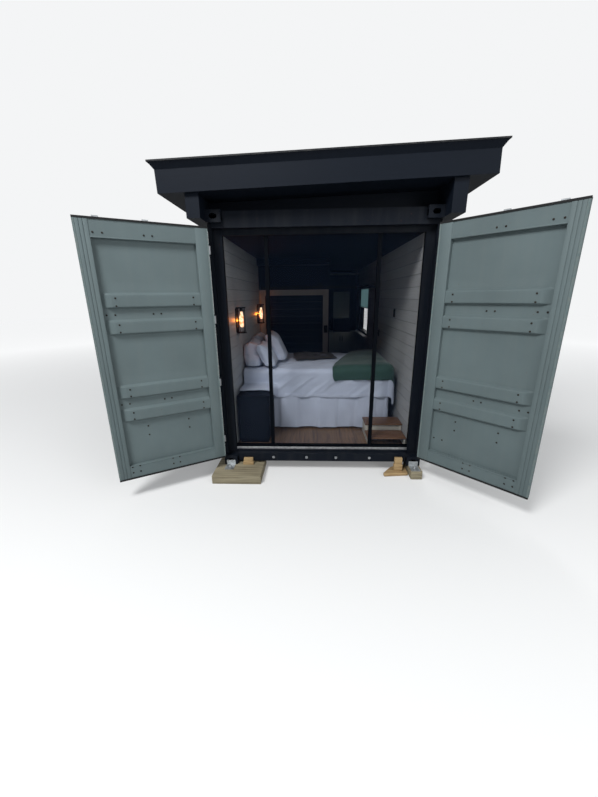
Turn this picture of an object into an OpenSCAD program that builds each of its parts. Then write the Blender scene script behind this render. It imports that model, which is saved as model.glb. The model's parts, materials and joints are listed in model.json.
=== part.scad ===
// Shipping container cabin: a high-cube steel container with its two cargo doors standing open, a glazed
// front behind them, a lined bedroom inside and a raised single-slope roof carried on side beams.
// Ground level is Z = 0. The pieces are drawn from the container's front face (Y = 0) and its centre line
// (X = 0), and the whole is then moved so that the origin lies under the middle of the footprint.

/* [Container] */
// outside width of the container
cont_w = 2438; // [2438:1:2600]
// outside length of the container
cont_l = 6058; // [4500:1:12192]
// outside height of the container
cont_h = 2896; // [2700:1:3100]
// corner casting width
casting_w = 162; // [150:1:180]
// corner casting length
casting_l = 178; // [170:1:190]
// corner casting height
casting_h = 118; // [110:1:130]
// wall of a corner casting
casting_wall = 28; // [20:1:32]
// plate thickness of posts, sill and header
frame_t = 6; // [4:1:10]
// side wall sheet thickness
sheet_t = 2; // [1.6:0.1:4]
// depth of the side wall corrugation
wave_d = 36; // [24:1:42]
// pitch of the side wall corrugation
wave_p = 278; // [200:1:320]
// how far the cross members and sill stay above the castings' feet
ground_gap = 17.5; // [12:0.5:29]
// height of the bottom side rails
rail_h = 162; // [120:1:180]
// flange width of the bottom side rails
rail_flange = 48; // [40:1:60]
// size of the square top side rails
top_rail = 60; // [50:1:80]
// spacing of the floor cross members
cross_pitch = 304; // [250:1:500]
// height of a cross member
cross_h = 122; // [100:1:122]
// finished floor above the ground under the container
floor_top = 283; // [275:1:300]

/* [Footings] */
// height of a footing block
pad_h = 105; // [60:5:300]
// width of a footing block
pad_w = 585; // [300:5:700]
// length of a footing block
pad_l = 520; // [300:5:700]
// how far a footing block reaches in front of the castings
pad_front = 300; // [0:5:300]

/* [Cargo doors] */
// header's depth, from the leaf's top to the container's top
header_h = 177; // [150:1:240]
// lower edge of a door leaf above the container's feet
leaf_lift = 145; // [140:1:170]
// distance of a hinge pin from the centre line
pin_x = 1206; // [1200:1:1210]
// depth of a hinge pin behind the front face
pin_y = 20; // [18:1:26]
// thickness of a door leaf's frame
leaf_t = 50; // [40:1:50]
// depth of a closed leaf's outer face behind the front face
leaf_y = 65; // [60:1:75]
// gap between a closed leaf and its post
leaf_gap = 10; // [9:1:14]
// half the gap between the two closed leaves
meet_gap = 8; // [7:1:10]
// how far the gasket's lip stands out round a leaf
lip = 4; // [2:0.5:4]
// width of a leaf's stile at its free edge
stile_w = 115; // [80:1:130]
// width of a leaf's stile at its hinges
hinge_stile = 125; // [90:1:140]
// height of a leaf's top rail
leaf_head = 164; // [100:1:200]
// height of a leaf's bottom rail
leaf_foot = 150; // [100:1:200]
// how far the panel's ribs stand proud
rib_d = 36; // [24:1:40]
// height of a rib at its foot
rib_w = 152; // [110:1:180]
// distance between the two ribs of a pair
rib_pitch = 250; // [200:1:300]
// thickness of the leaf's panel sheet
leaf_sheet = 3; // [2:0.5:4]
// opening angle of the left leaf as the photograph shows it
left_open = 148; // [0:1:180]
// opening angle of the right leaf as the photograph shows it
right_open = 133; // [0:1:180]
// radius of the locking rods
rod_r = 17; // [14:0.5:20]
// distance of the inner locking rod from the hinge pin
rod_near = 603; // [560:1:640]
// distance of the outer locking rod from the hinge pin
rod_far = 1020; // [980:1:1030]
// length of a locking handle
handle_l = 375; // [300:5:420]

/* [Glazed front] */
// distance of a mullion from the centre line
mullion_x = 618; // [400:1:800]
// width of a mullion
mullion_w = 42; // [30:1:60]
// depth of the glazing frame
glaze_d = 44; // [30:1:44]
// thickness of a pane
pane_t = 10; // [6:1:24]

/* [Room] */
// half the width between the side linings
room_x = 1100; // [1050:1:1120]
// underside of the ceiling above the ground
ceiling_z = 2787; // [2600:1:2800]
// thickness of the boards on walls and ceiling
board_t = 20; // [12:1:24]
// width of one lining board
board_w = 139; // [90:1:200]
// front face of the partition
partition_y = 2660; // [2600:10:3600]
// thickness of the partition
partition_t = 90; // [70:1:120]
// right-hand edge of the partition from the centre line
partition_x = 200; // [100:5:300]
// width of the partition's doorway
doorway_w = 970; // [800:5:1000]
// height of the partition's doorway
doorway_h = 1900; // [1850:5:1950]
// width of the sliding door that covers the doorway
door_w = 1270; // [1100:5:1280]
// height of the sliding door
door_h = 1967; // [1960:1:2050]
// window in the right-hand wall, near end
window_y = 3890; // [3600:10:4400]
// window width
window_w = 1420; // [600:10:1500]
// window sill above the ground
window_z = 1270; // [1100:10:1500]
// window height
window_h = 1100; // [500:10:1100]

/* [Roof] */
// slope of the roof, up to the right
slope = 1.74; // [0.5:0.01:5]
// underside of the soffit on the centre line
soffit_z = 3150; // [3100:1:3400]
// how far the roof frame reaches in front of and behind the container
roof_over = 162; // [50:1:600]
// half the length of the front fascia board
roof_x = 1605; // [1400:1:1900]
// thickness of a fascia board
fascia_t = 38; // [25:1:45]
// crown trim's reach beyond the fascia
crown_out = 46; // [20:1:80]
// crown trim's height
crown_h = 67; // [40:1:120]
// thickness of the soffit boards
soffit_t = 14; // [9:1:20]
// depth of a rafter
rafter_d = 235; // [140:1:286]
// thickness of a rafter
rafter_t = 38; // [38:1:50]
// spacing of the rafters
rafter_p = 600; // [400:10:900]
// thickness of the roof deck
deck_t = 18; // [12:1:25]
// width of a side beam
beam_w = 136; // [100:1:140]
// underside of the side beams above the ground
beam_z = 2890; // [2870:1:2920]

/* [Furniture] */
// near side of the bed from the container's front face
bed_y = 790; // [700:5:900]
// width of the bed
bed_w = 1430; // [1370:5:1600]
// clear space between the bed's foot and the right-hand lining
bed_foot = 80; // [150:5:320]
// top of the mattress above the ground
mattress_z = 1150; // [900:5:1200]
// thickness of the mattress
mattress_t = 260; // [200:5:320]
// lower hem of the duvet above the ground
hem_z = 795; // [700:5:900]
// height of the green throw's hem at the foot of the bed
throw_hem = 715; // [600:5:900]
// width of the bedside cabinet
cabinet_w = 420; // [350:5:450]
// depth of the bedside cabinet
cabinet_d = 400; // [350:5:450]
// height of the bedside cabinet
cabinet_h = 650; // [400:5:700]
// width of the step stool
stool_w = 480; // [400:5:500]
// top of the stool's lower tread above the floor
stool_low = 112; // [100:1:150]
// top of the stool's upper tread above the floor
stool_high = 207; // [200:1:300]
// length of the stool's two treads together
stool_l = 522; // [450:1:540]
// height of a pillow
pillow_h = 380; // [300:5:450]
// length of a pillow
pillow_l = 620; // [550:5:680]
// thickness of a pillow
pillow_t = 150; // [90:1:150]
// depth of the kitchen unit
unit_d = 500; // [450:5:600]
// worktop of the kitchen unit above the floor
unit_h = 930; // [850:5:950]
// depth of the cupboard over the kitchen unit
cupboard_d = 320; // [280:5:360]
// height of the cupboard over the kitchen unit
cupboard_h = 370; // [300:5:400]
// height of a wall lamp's centre above the floor
lamp_h = 1567; // [1400:1:1700]
// distance between a wall lamp's two caps
lamp_cage = 300; // [240:1:360]

/* [Output] */
// the piece to draw, or all

/* [Hidden] */

base_z = pad_h;
top_z = base_z + cont_h;
half_w = cont_w / 2;
foot_z = base_z + ground_gap;
rail_top = foot_z + rail_h;
leaf_z = base_z + leaf_lift;
leaf_top = top_z - header_h;
leaf_h = leaf_top - leaf_z;
leaf_u0 = 36;
leaf_w = pin_x - leaf_u0 - meet_gap;
leaf_v0 = leaf_y - pin_y;
leaf_in = leaf_y + leaf_t;
leaf_v1 = leaf_in - pin_y;
lip_v = leaf_v1 + 6;
stop_y = leaf_in + 12;
post_face = leaf_y - 7;
post_back = stop_y + 25;
post_in = 1088;
strip_x = pin_x - leaf_u0 + leaf_gap;
post_foot = base_z + casting_h;
post_top = top_z - casting_h;
header_z = leaf_top + lip + 8;
roof_sheet_z = top_z - 6;
rail_low = roof_sheet_z - 20 - top_rail;
glaze_y = post_back + 1;
glaze_back = glaze_y + glaze_d;
lining_y = glaze_back + 1;
lining_out = half_w - rail_flange - 1;
rear_in = cont_l - casting_l - board_t - 2;
rear_post = 120;
rear_head = post_top - 44;
wave_low = half_w - 6 - wave_d;
beam_front = -roof_over;
beam_back = cont_l + roof_over;
closure_y = 235;
panel_v = leaf_v1 - 4 - rib_d;
rib_zs = [for (f = [0.326, 0.676]) for (s = [-1, 1]) leaf_z + f * leaf_h + s * rib_pitch / 2];
guide_zs = [leaf_z + 70, (rib_zs[0] + rib_zs[1]) / 2, (rib_zs[2] + rib_zs[3]) / 2, leaf_top - 114];
handle_z = leaf_z + 0.202 * leaf_h;
hinge_zs = [for (f = [0.08, 0.36, 0.64, 0.92]) leaf_z + f * leaf_h];
pin_r = 10;
knuckle_r = 16;
knuckle_h = 84;
lug_t = 12;

// the footprint with both leaves standing open, for the origin
function reach_out(a) = pin_x - (leaf_u0 + leaf_w) * cos(a) - leaf_v0 * sin(a);
function reach_front(a) = (leaf_u0 + leaf_w + lip) * sin(a) - lip_v * cos(a) - pin_y;
shift_x = (reach_out(left_open) - reach_out(right_open)) / 2;
reach_back = max(pad_front, roof_over + fascia_t + 25);
shift_y = (max(reach_front(left_open), reach_front(right_open)) - cont_l - reach_back) / 2;

module placed() translate([shift_x, shift_y, 0]) children();

// a box given by its low and high corners
module box(a, b) translate(a) cube(b - a);

// a copy on each side of the centre line
module both_sides() { children(); mirror([1, 0, 0]) children(); }

// a box and the same box at the far end of the container
module both_ends() { children(); translate([0, cont_l, 0]) mirror([0, 1, 0]) children(); }

// a profile drawn in X and Z, run along Y from y0 to y1
module along_y(y0, y1) translate([0, y1, 0]) rotate([90, 0, 0]) linear_extrude(y1 - y0) children();

// a profile drawn in Y and Z, run along X from x0 to x1
module along_x(x0, x1) translate([x0, 0, 0]) rotate([90, 0, 90]) linear_extrude(x1 - x0) children();

// the sloping roof plane: local Z = 0 is the soffit's underside
module sloped() translate([0, 0, soffit_z]) rotate([0, -slope, 0]) children();

// corrugated strip of the given length: flats and slopes in the pressed proportion
function wave_pts(length, pitch, depth) = [
    for (i = [0:floor(length / pitch)])
        for (p = [[0, 0], [0.37, 0], [0.5, depth], [0.87, depth]])
            if ((i + p[0]) * pitch < length) [(i + p[0]) * pitch, p[1]]
];

function wave_end(pts, length) = concat(pts, [[length, pts[len(pts) - 1][1]]]);

module wave(length, pitch, depth, t) {
    line = wave_end(wave_pts(length, pitch, depth), length);
    back = [for (i = [len(line) - 1:-1:0]) [line[i][0], line[i][1] + t]];
    polygon(concat(line, back));
}

// an opening with half-round ends, as castings have
module slot(length, width, depth) linear_extrude(depth, center = true) {
    square([length - width, width], center = true);
    for (s = [-1, 1]) translate([s * (length - width) / 2, 0]) circle(d = width, $fn = 48);
}

// lower left front casting with its outer corner at the origin
module casting() {
    difference() {
        cube([casting_w, casting_l, casting_h]);
        translate([casting_wall / 2, casting_wall / 2, casting_wall])
            cube([casting_w, casting_l, casting_h - 2 * casting_wall]);
        translate([casting_w / 2, casting_l / 2, casting_wall / 2]) rotate(90) slot(124, 63, casting_wall * 2);
        translate([casting_w / 2, 0, casting_h / 2]) rotate([90, 0, 0]) slot(79, 51, casting_wall * 3);
        translate([0, casting_l / 2, casting_h / 2]) rotate([90, 0, 90]) slot(101, 51, casting_wall * 3);
    }
}

module corner_castings() color("#1b1c1f") both_ends() both_sides() {
    translate([-half_w, 0, base_z]) casting();
    translate([-half_w, 0, top_z]) mirror([0, 0, 1]) casting();
}

// the room that the castings take, for the sheets and rails that end against them
module casting_space() both_ends() both_sides() {
    box([-half_w - 1, -1, base_z], [-half_w + casting_w, casting_l, post_foot]);
    box([-half_w - 1, -1, post_top], [-half_w + casting_w, casting_l, top_z + 1]);
}

module footings() color("#8c7a60") both_ends() both_sides() {
    box([-half_w - 90, -pad_front, 0], [-half_w - 90 + pad_w, pad_l - pad_front, pad_h]);
    box([-half_w + casting_w + 90, 60, pad_h], [-half_w + casting_w + 210, 130, foot_z]);
}

module hold_down_brackets() color("#b9bcbe") both_ends() both_sides() {
    difference() {
        union() {
            box([-half_w + 26, -140, pad_h], [-half_w + 136, 0, pad_h + 8]);
            box([-half_w + 26, -8, pad_h], [-half_w + 136, 0, pad_h + 62]);
        }
        translate([-half_w + 81, -80, pad_h]) cylinder(r = 9, h = 40, center = true, $fn = 48);
    }
}

// rolled door post with its stop for the leaf, run up from casting to casting
module door_posts() color("#17181b") both_sides() translate([0, 0, post_foot])
    linear_extrude(post_top - post_foot) difference() {
        polygon([[-half_w, post_face], [-strip_x, post_face], [-strip_x, stop_y],
            [-post_in, stop_y], [-post_in, post_back], [-half_w, post_back]]);
        polygon([[-half_w + frame_t, post_face + frame_t], [-strip_x - frame_t, post_face + frame_t],
            [-strip_x - frame_t, stop_y + frame_t], [-post_in - frame_t, stop_y + frame_t],
            [-post_in - frame_t, post_back - frame_t], [-half_w + frame_t, post_back - frame_t]]);
    }

// welded lugs that hold each hinge pin above and below the leaf's knuckle
module hinge_lugs() color("#17181b") both_sides() for (z = hinge_zs) translate([-pin_x, pin_y, z]) {
    cylinder(r = pin_r, h = knuckle_h + 2 * lug_t + 14, center = true, $fn = 48);
    for (s = [-1, 1]) translate([0, 0, s * (knuckle_h / 2 + 1 + lug_t / 2)]) {
        cylinder(r = 18, h = lug_t, center = true, $fn = 48);
        box([-13, 0, -lug_t / 2], [18, post_face - pin_y, lug_t / 2]);
    }
}

module c_rail() polygon([[-half_w, foot_z], [-half_w + rail_flange, foot_z],
    [-half_w + rail_flange, foot_z + 4.5], [-half_w + 4.5, foot_z + 4.5],
    [-half_w + 4.5, rail_top - 4.5], [-half_w + rail_flange, rail_top - 4.5],
    [-half_w + rail_flange, rail_top], [-half_w, rail_top]]);

module side_rails() color("#17181b") both_sides() {
    along_y(casting_l, cont_l - casting_l) c_rail();
    along_y(casting_l, cont_l - casting_l) difference() {
        translate([-half_w, rail_low]) square(top_rail);
        translate([-half_w + 3, rail_low + 3]) square(top_rail - 6);
    }
}

module cross_members() color("#17181b") for (y = [casting_l + 60 : cross_pitch : cont_l - casting_l - 60])
    along_x(-half_w + 4.5, half_w - 4.5) translate([y, foot_z + 4.5]) difference() {
        square([45, cross_h]);
        translate([4.5, 4.5]) square([45, cross_h - 9]);
    }

// hollow pressed sill: a low front face for the leaf to pass over, and the stop behind it
module front_sill() color("#17181b") {
    along_x(-half_w + casting_w, half_w - casting_w) difference() {
        polygon([[50, foot_z + 11], [post_back, foot_z + 11], [post_back, post_foot + 12],
            [50, post_foot + 12]]);
        polygon([[50 + frame_t, foot_z + 11 + frame_t], [post_back - frame_t, foot_z + 11 + frame_t],
            [post_back - frame_t, post_foot + 12 - frame_t], [50 + frame_t, post_foot + 12 - frame_t]]);
    }
    box([-post_in + 1, stop_y, post_foot + 12], [post_in - 1, post_back, leaf_z + 2]);
    for (s = [-1, 1]) for (r = [rod_near, rod_far]) translate([s * (pin_x - r), 50, leaf_z - 60])
        rotate([90, 0, 0]) cylinder(r = 13, h = 12, $fn = 48);
}

module front_header() color("#17181b") {
    along_x(-half_w + casting_w, half_w - casting_w) difference() {
        polygon([[50, header_z], [post_back, header_z], [post_back, top_z - 6], [50, top_z - 6]]);
        polygon([[50 + frame_t, header_z + frame_t], [post_back - frame_t, header_z + frame_t],
            [post_back - frame_t, top_z - 6 - frame_t], [50 + frame_t, top_z - 6 - frame_t]]);
    }
    both_sides() box([-strip_x + 1, 50, header_z], [-half_w + casting_w + 1, stop_y - 1, post_top]);
    box([-post_in + 1, stop_y, ceiling_z - 12], [post_in - 1, post_back, header_z]);
}

// rear posts, and the sill and header that join them
module rear_frame() color("#17181b") difference() {
    union() {
        both_sides() translate([0, 0, post_foot]) linear_extrude(post_top - post_foot) difference() {
            translate([-half_w, cont_l - rear_post]) square(rear_post);
            translate([-half_w + frame_t, cont_l - rear_post + frame_t]) square(rear_post - 2 * frame_t);
        }
        along_x(-half_w + rear_post - 1, half_w - rear_post + 1) difference() {
            translate([cont_l - rail_flange, foot_z]) square([rail_flange, rail_h]);
            translate([cont_l - rail_flange - 1, foot_z + 4.5]) square([rail_flange - 3.5, rail_h - 9]);
        }
        along_x(-half_w + rear_post - 1, half_w - rear_post + 1) difference() {
            translate([cont_l - top_rail, rear_head]) square([top_rail, roof_sheet_z - rear_head]);
            translate([cont_l - top_rail + 4, rear_head + 4]) square([top_rail - 8, roof_sheet_z - rear_head - 8]);
        }
    }
    casting_space();
}

// corrugated wall in plan, drawn for the left side and run up between the rails
module side_sheet() translate([-half_w + 6, post_back + 1, rail_top]) rotate(90) mirror([0, 1, 0])
    linear_extrude(rail_low - rail_top) wave(cont_l - rear_post - post_back - 2, wave_p, wave_d, sheet_t);

module side_wall_left() color("#1a1b1e") difference() {
    side_sheet();
    casting_space();
}

module side_wall_right() color("#1a1b1e") difference() {
    mirror([1, 0, 0]) side_sheet();
    box([half_w - 80, window_y, window_z], [half_w + 10, window_y + window_w, window_z + window_h]);
    casting_space();
}

module end_wall() color("#1a1b1e") translate([half_w - rear_post - 1, cont_l - 5, rail_top]) rotate(180)
    linear_extrude(rear_head - 1 - rail_top) wave(cont_w - 2 * rear_post - 2, 250, 38, sheet_t);

module container_roof() color("#1a1b1e") along_x(-half_w + 3, half_w - 3)
    translate([casting_l + 1, rail_low + top_rail]) wave(cont_l - 2 * casting_l - 2, 210, 18, sheet_t);

module floor() color("#7d4f33") box([-half_w + rail_flange + 1, glaze_back + 6, foot_z + 4.5 + cross_h],
    [half_w - rail_flange - 1, cont_l - rear_post - 1, floor_top]);

// shiplap profile: boards with a small open joint at each lap
module shiplap(height) {
    n = floor(height / board_w);
    joints = [for (i = [1:n - 1]) for (p = [[0, -3], [6, -3], [6, 3], [0, 3]]) [p[0], i * board_w + p[1]]];
    polygon(concat([[0, 0]], joints, [[0, height], [lining_out - room_x, height],
        [lining_out - room_x, 0]]));
}

module lining() along_y(lining_y, rear_in + board_t) translate([room_x, floor_top])
    shiplap(rail_low - 5 - floor_top);

module lining_left() color("#c9c8c2") mirror([1, 0, 0]) lining();

module lining_right() color("#c9c8c2") {
    difference() {
        lining();
        box([room_x - 5, window_y, window_z], [half_w, window_y + window_w, window_z + window_h]);
    }
    box([room_x - 90, window_y - 60, window_z - 25], [room_x + 1, window_y + window_w + 60, window_z]);
}

module lining_rear() color("#c9c8c2") box([-room_x, rear_in, floor_top],
    [room_x, rear_in + board_t, ceiling_z]);

module ceiling() color("#3a3d42") difference() {
    box([-room_x, lining_y, ceiling_z], [room_x, rear_in + board_t, ceiling_z + board_t]);
    for (y = [lining_y + board_w : board_w : rear_in])
        box([-room_x - 1, y - 2, ceiling_z - 1], [room_x + 1, y + 2, ceiling_z + 5]);
}

// front and side of the enclosed end room, with its doorway and the deep head over it
module partition() color("#1f2735") {
    door_r = partition_x - 180;
    box([-room_x, partition_y, floor_top], [door_r - doorway_w, partition_y + partition_t, ceiling_z]);
    box([door_r, partition_y, floor_top], [partition_x, partition_y + partition_t, ceiling_z]);
    box([-room_x, partition_y, floor_top + doorway_h], [partition_x, partition_y + partition_t, ceiling_z]);
    box([partition_x - partition_t, partition_y, floor_top], [partition_x, rear_in, ceiling_z]);
    box([-room_x, partition_y - 140, ceiling_z - 115], [partition_x, partition_y + 1, ceiling_z]);
}

door_x = partition_x - 20 - door_w;
door_y = partition_y - 49;
door_t = 42;
door_top = floor_top + 8 + door_h;
rail_bar = 8;
rail_y = door_y + 15;
track_z = door_top + 17;
track_h = 40;
wheel_r = 28;

// flat bar that the sliding door hangs from, held off the wall by round spacers
module door_track() color("#17181b") {
    box([-room_x + 12, rail_y, track_z], [room_x - 12, rail_y + rail_bar, track_z + track_h]);
    for (x = [-room_x + 80, -260, partition_x - 60]) translate([x, partition_y, track_z + track_h / 2])
        rotate([90, 0, 0]) cylinder(r = 9, h = partition_y - rail_y - rail_bar, $fn = 32);
    box([room_x - 60, rail_y + rail_bar, track_z], [room_x - 12, partition_y + 40, track_z + track_h]);
    box([room_x - 60, partition_y - 8, track_z], [room_x, partition_y + 40, track_z + track_h]);
}

module sliding_door() color("#8f8a80") translate([door_x, door_y, floor_top + 8]) {
    stile = 100;
    difference() {
        cube([door_w, door_t, door_h]);
        translate([stile, -1, stile]) cube([door_w - 2 * stile, 15, door_h - 2 * stile]);
    }
}

// angles on the sliding door's top edge, with the wheels that run on its bar
module door_hangers() color("#17181b") for (x = [door_x + 150, door_x + door_w - 150]) {
    box([x - 20, door_y, door_top], [x + 20, door_y + 32, door_top + 5]);
    box([x - 20, door_y, door_top], [x + 20, door_y + 6, track_z + track_h + wheel_r + 24]);
    translate([x, door_y + 5, track_z + track_h + wheel_r + 0.4]) rotate([-90, 0, 0]) {
        cylinder(r = 8, h = 6, $fn = 32);
        translate([0, 0, 2]) cylinder(r = wheel_r, h = 24, $fn = 64);
    }
}

module threshold() color("#c6c9cb") box([-room_x - 30, glaze_y, foot_z + 4.5 + cross_h],
    [room_x + 30, glaze_back + 5, floor_top]);

glaze_x = room_x + 32;
glaze_top = ceiling_z + 28;

module glazing_frame() color("#15161a") difference() {
    box([-glaze_x, glaze_y, floor_top], [glaze_x, glaze_back, glaze_top]);
    for (c = [[-room_x + 8, -mullion_x - mullion_w / 2], [-mullion_x + mullion_w / 2, mullion_x - mullion_w / 2],
        [mullion_x + mullion_w / 2, room_x - 8]])
        box([c[0], glaze_y - 1, floor_top + 30], [c[1], glaze_back + 1, ceiling_z - 8]);
}

module front_glass() color("#b8c4c8", 0.3) for (c = [[-room_x + 8, -mullion_x - mullion_w / 2],
    [-mullion_x + mullion_w / 2, mullion_x - mullion_w / 2], [mullion_x + mullion_w / 2, room_x - 8]])
    box([c[0], glaze_y + (glaze_d - pane_t) / 2, floor_top + 30],
        [c[1], glaze_y + (glaze_d + pane_t) / 2, ceiling_z - 8]);

module window_frame() color("#15161a") difference() {
    box([room_x + 4, window_y, window_z], [half_w + 6, window_y + window_w, window_z + window_h]);
    box([room_x, window_y + 45, window_z + 45],
        [half_w + 10, window_y + window_w - 45, window_z + window_h - 45]);
}

module window_glass() color("#b8c4c8", 0.3) box([half_w - 60, window_y + 45, window_z + 45],
    [half_w - 50, window_y + window_w - 45, window_z + window_h - 45]);

module window_blind() color("#cfd5d6") box([room_x + 30, window_y + 46, window_z + window_h * 0.55],
    [room_x + 34, window_y + window_w - 46, window_z + window_h - 45]);

// height of the soffit's underside, less the seat's clearance
function soffit_at(x) = soffit_z + x * tan(slope) - 0.3;

module side_beams() color("#16181c") for (s = [-1, 1]) along_y(beam_front, beam_back)
    polygon([[s * half_w, beam_z], [s * (half_w + beam_w), beam_z],
        [s * (half_w + beam_w), soffit_at(s * (half_w + beam_w))], [s * half_w, soffit_at(s * half_w)]]);

module closure_boards() color("#16181c") both_ends() along_y(closure_y, closure_y + 25)
    polygon([[-half_w, roof_sheet_z], [half_w, roof_sheet_z], [half_w, soffit_at(half_w)],
        [-half_w, soffit_at(-half_w)]]);

module soffit() color("#22252a") sloped()
    box([-roof_x + fascia_t, beam_front, 0], [roof_x - fascia_t, beam_back, soffit_t]);

module roof_frame() color("#a58a63") sloped() {
    for (y = [beam_front : rafter_p : beam_back - rafter_t])
        box([-roof_x + fascia_t, y, soffit_t], [roof_x - fascia_t, y + rafter_t, soffit_t + rafter_d]);
    box([-roof_x + fascia_t, beam_front, soffit_t + rafter_d],
        [roof_x - fascia_t, beam_back, soffit_t + rafter_d + deck_t]);
}

roof_top = soffit_t + rafter_d + deck_t;
sheet_x = roof_x + crown_out + 1;

// board round the roof, with a crown trim that flares out under the sheet's edge
module fascia() color("#171b24") sloped() difference() {
    union() {
        box([-roof_x, beam_front - fascia_t, 0], [roof_x, beam_back + fascia_t, roof_top]);
        intersection() {
            along_y(beam_front - fascia_t - crown_out, beam_back + fascia_t + crown_out)
                crown(-roof_x, roof_x);
            along_x(-roof_x - crown_out, roof_x + crown_out)
                crown(beam_front - fascia_t, beam_back + fascia_t);
        }
    }
    box([-roof_x + fascia_t, beam_front, -1], [roof_x - fascia_t, beam_back, roof_top + 1]);
}

// crown's outline across a board that runs from a to b
module crown(a, b) polygon([[a, roof_top - crown_h], [b, roof_top - crown_h], [b + crown_out, roof_top - 6],
    [b + crown_out, roof_top], [a - crown_out, roof_top], [a - crown_out, roof_top - 6]]);

module roof_sheet() color("#1a1d22") sloped() {
    difference() {
        box([-sheet_x - 2, beam_front - fascia_t - crown_out - 3, roof_top - 12],
            [sheet_x + 2, beam_back + fascia_t + crown_out + 3, roof_top + 2]);
        box([-sheet_x, beam_front - fascia_t - crown_out - 1, roof_top - 13],
            [sheet_x, beam_back + fascia_t + crown_out + 1, roof_top]);
    }
    for (y = [beam_front + 50 : 400 : beam_back - 50])
        box([-sheet_x - 1, y, roof_top + 1], [sheet_x + 1, y + 6, roof_top + 30]);
}

bed_x0 = -room_x + 15;
bed_l = 2 * room_x - 15 - bed_foot;
base_top = mattress_z - mattress_t;
duvet_z = mattress_z + 40;

// covered base that reaches down to the floor
module bed_base() color("#e8e8e8") box([bed_x0 + 5, bed_y + 4, floor_top],
    [bed_x0 + bed_l - 32, bed_y + bed_w - 4, base_top]);

module mattress() color("#e4e2dc") box([bed_x0, bed_y + 8, base_top],
    [bed_x0 + bed_l - 30, bed_y + bed_w - 8, mattress_z]);

module duvet() color("#eceef0") difference() {
    box([bed_x0, bed_y - 28, hem_z], [bed_x0 + bed_l, bed_y + bed_w + 28, duvet_z]);
    box([bed_x0 - 1, bed_y + 1.5, hem_z - 1], [bed_x0 + bed_l - 29, bed_y + bed_w - 1.5, mattress_z + 0.3]);
}

// two pillows stand against the wall and two lean on them, the far one a larger square
module pillows() color("#eef0f2") {
    near = bed_y + bed_w / 2 - 80 - pillow_l;
    for (y = [near, near + pillow_l + 40]) translate([bed_x0 + 2, y, duvet_z + 0.5])
        cube([pillow_t, pillow_l, pillow_h]);
    translate([bed_x0 + pillow_t + 160, near + 10, duvet_z + 0.5]) rotate([0, -24, 0])
        cube([pillow_t - 25, pillow_l - 20, pillow_h]);
    translate([bed_x0 + pillow_t + 287, near + pillow_l / 2, duvet_z + 0.5]) rotate([0, -8, 0])
        cube([pillow_t, pillow_l - 20, pillow_h + 50]);
}

// folded over the foot of the bed, its edge nearer the foot on the far side
module green_throw() color("#2f5a45") {
    end = bed_x0 + bed_l;
    difference() {
        translate([0, 0, duvet_z - 172]) linear_extrude(184) polygon([[0.17 * room_x, bed_y - 38],
            [end + 12, bed_y - 38], [end + 12, bed_y + bed_w + 38], [0.545 * room_x, bed_y + bed_w + 38]]);
        box([0, bed_y - 28.5, duvet_z - 173], [end + 0.5, bed_y + bed_w + 28.5, duvet_z + 0.5]);
    }
    box([end + 0.5, bed_y - 38, throw_hem], [end + 12, bed_y + bed_w + 38, duvet_z - 171]);
}

module knit_throw() color("#6b5648") box([-0.39 * room_x, bed_y + 0.39 * bed_w, duvet_z + 0.5],
    [0.24 * room_x, bed_y + 0.9 * bed_w, duvet_z + 35]);

module bedside_cabinet() color("#2a2b2f") {
    x0 = -room_x + 28;
    y0 = lining_y + 60;
    difference() {
        box([x0, y0, floor_top], [x0 + cabinet_w, y0 + cabinet_d, floor_top + cabinet_h]);
        box([x0 + 20, y0 - 1, floor_top + 60], [x0 + cabinet_w - 20, y0 + 3, floor_top + cabinet_h - 40]);
    }
}

// two-tread step in front of the bed
module step_stool() color("#8a6242") {
    x0 = room_x - 15 - stool_w;
    y0 = lining_y + 18;
    tread = stool_l / 2 - 11;
    side = 22;
    board = 24;
    for (s = [0, stool_w - side]) translate([x0 + s, 0, floor_top]) along_x(0, side)
        polygon([[y0, 0], [y0 + stool_l - side, 0], [y0 + stool_l - side, stool_high - board],
            [y0 + tread - 10, stool_high - board], [y0 + tread - 10, stool_low - board], [y0, stool_low - board]]);
    box([x0 - 8, y0 - 12, floor_top + stool_low - board], [x0 + stool_w + 8, y0 + tread, floor_top + stool_low]);
    box([x0 - 8, y0 + tread - 22, floor_top + stool_high - board],
        [x0 + stool_w + 8, y0 + stool_l - 12, floor_top + stool_high]);
    box([x0 + side, y0 + tread - 10, floor_top + stool_low], [x0 + stool_w - side, y0 + tread + 2,
        floor_top + stool_high - board]);
}

lamp_z = floor_top + lamp_h;
lamp_ys = [bed_y - 150, bed_y + bed_w + 140];
lamp_out = 68;

// caged wall lamp: back plate, two caps and four upright bars round the bulb
module wall_lamps() color("#17181b") for (y = lamp_ys) translate([-room_x, y, lamp_z]) {
    box([0, -55, -lamp_cage / 2], [12, 55, lamp_cage / 2]);
    for (z = [-lamp_cage / 2 - 15, lamp_cage / 2]) {
        translate([lamp_out, 0, z]) cylinder(r = lamp_out - 12, h = 15, $fn = 64);
        box([2, -20, z], [40, 20, z + 15]);
    }
    for (a = [45 : 90 : 315]) translate([lamp_out + 50 * cos(a), 50 * sin(a), -lamp_cage / 2 - 1])
        cylinder(r = 4, h = lamp_cage + 2, $fn = 24);
    translate([lamp_out, 0, lamp_cage / 2 - 40]) cylinder(r = 18, h = 42, $fn = 48);
}

module lamp_bulbs() color("#ffd28a") for (y = lamp_ys)
    translate([-room_x + lamp_out, y, lamp_z + lamp_cage / 2 - 40])
        rotate_extrude($fn = 48) polygon([[0, -200], [14, -198], [24, -185], [28, -160], [28, -70], [18, -30],
            [14, 0], [0, 0]]);

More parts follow.
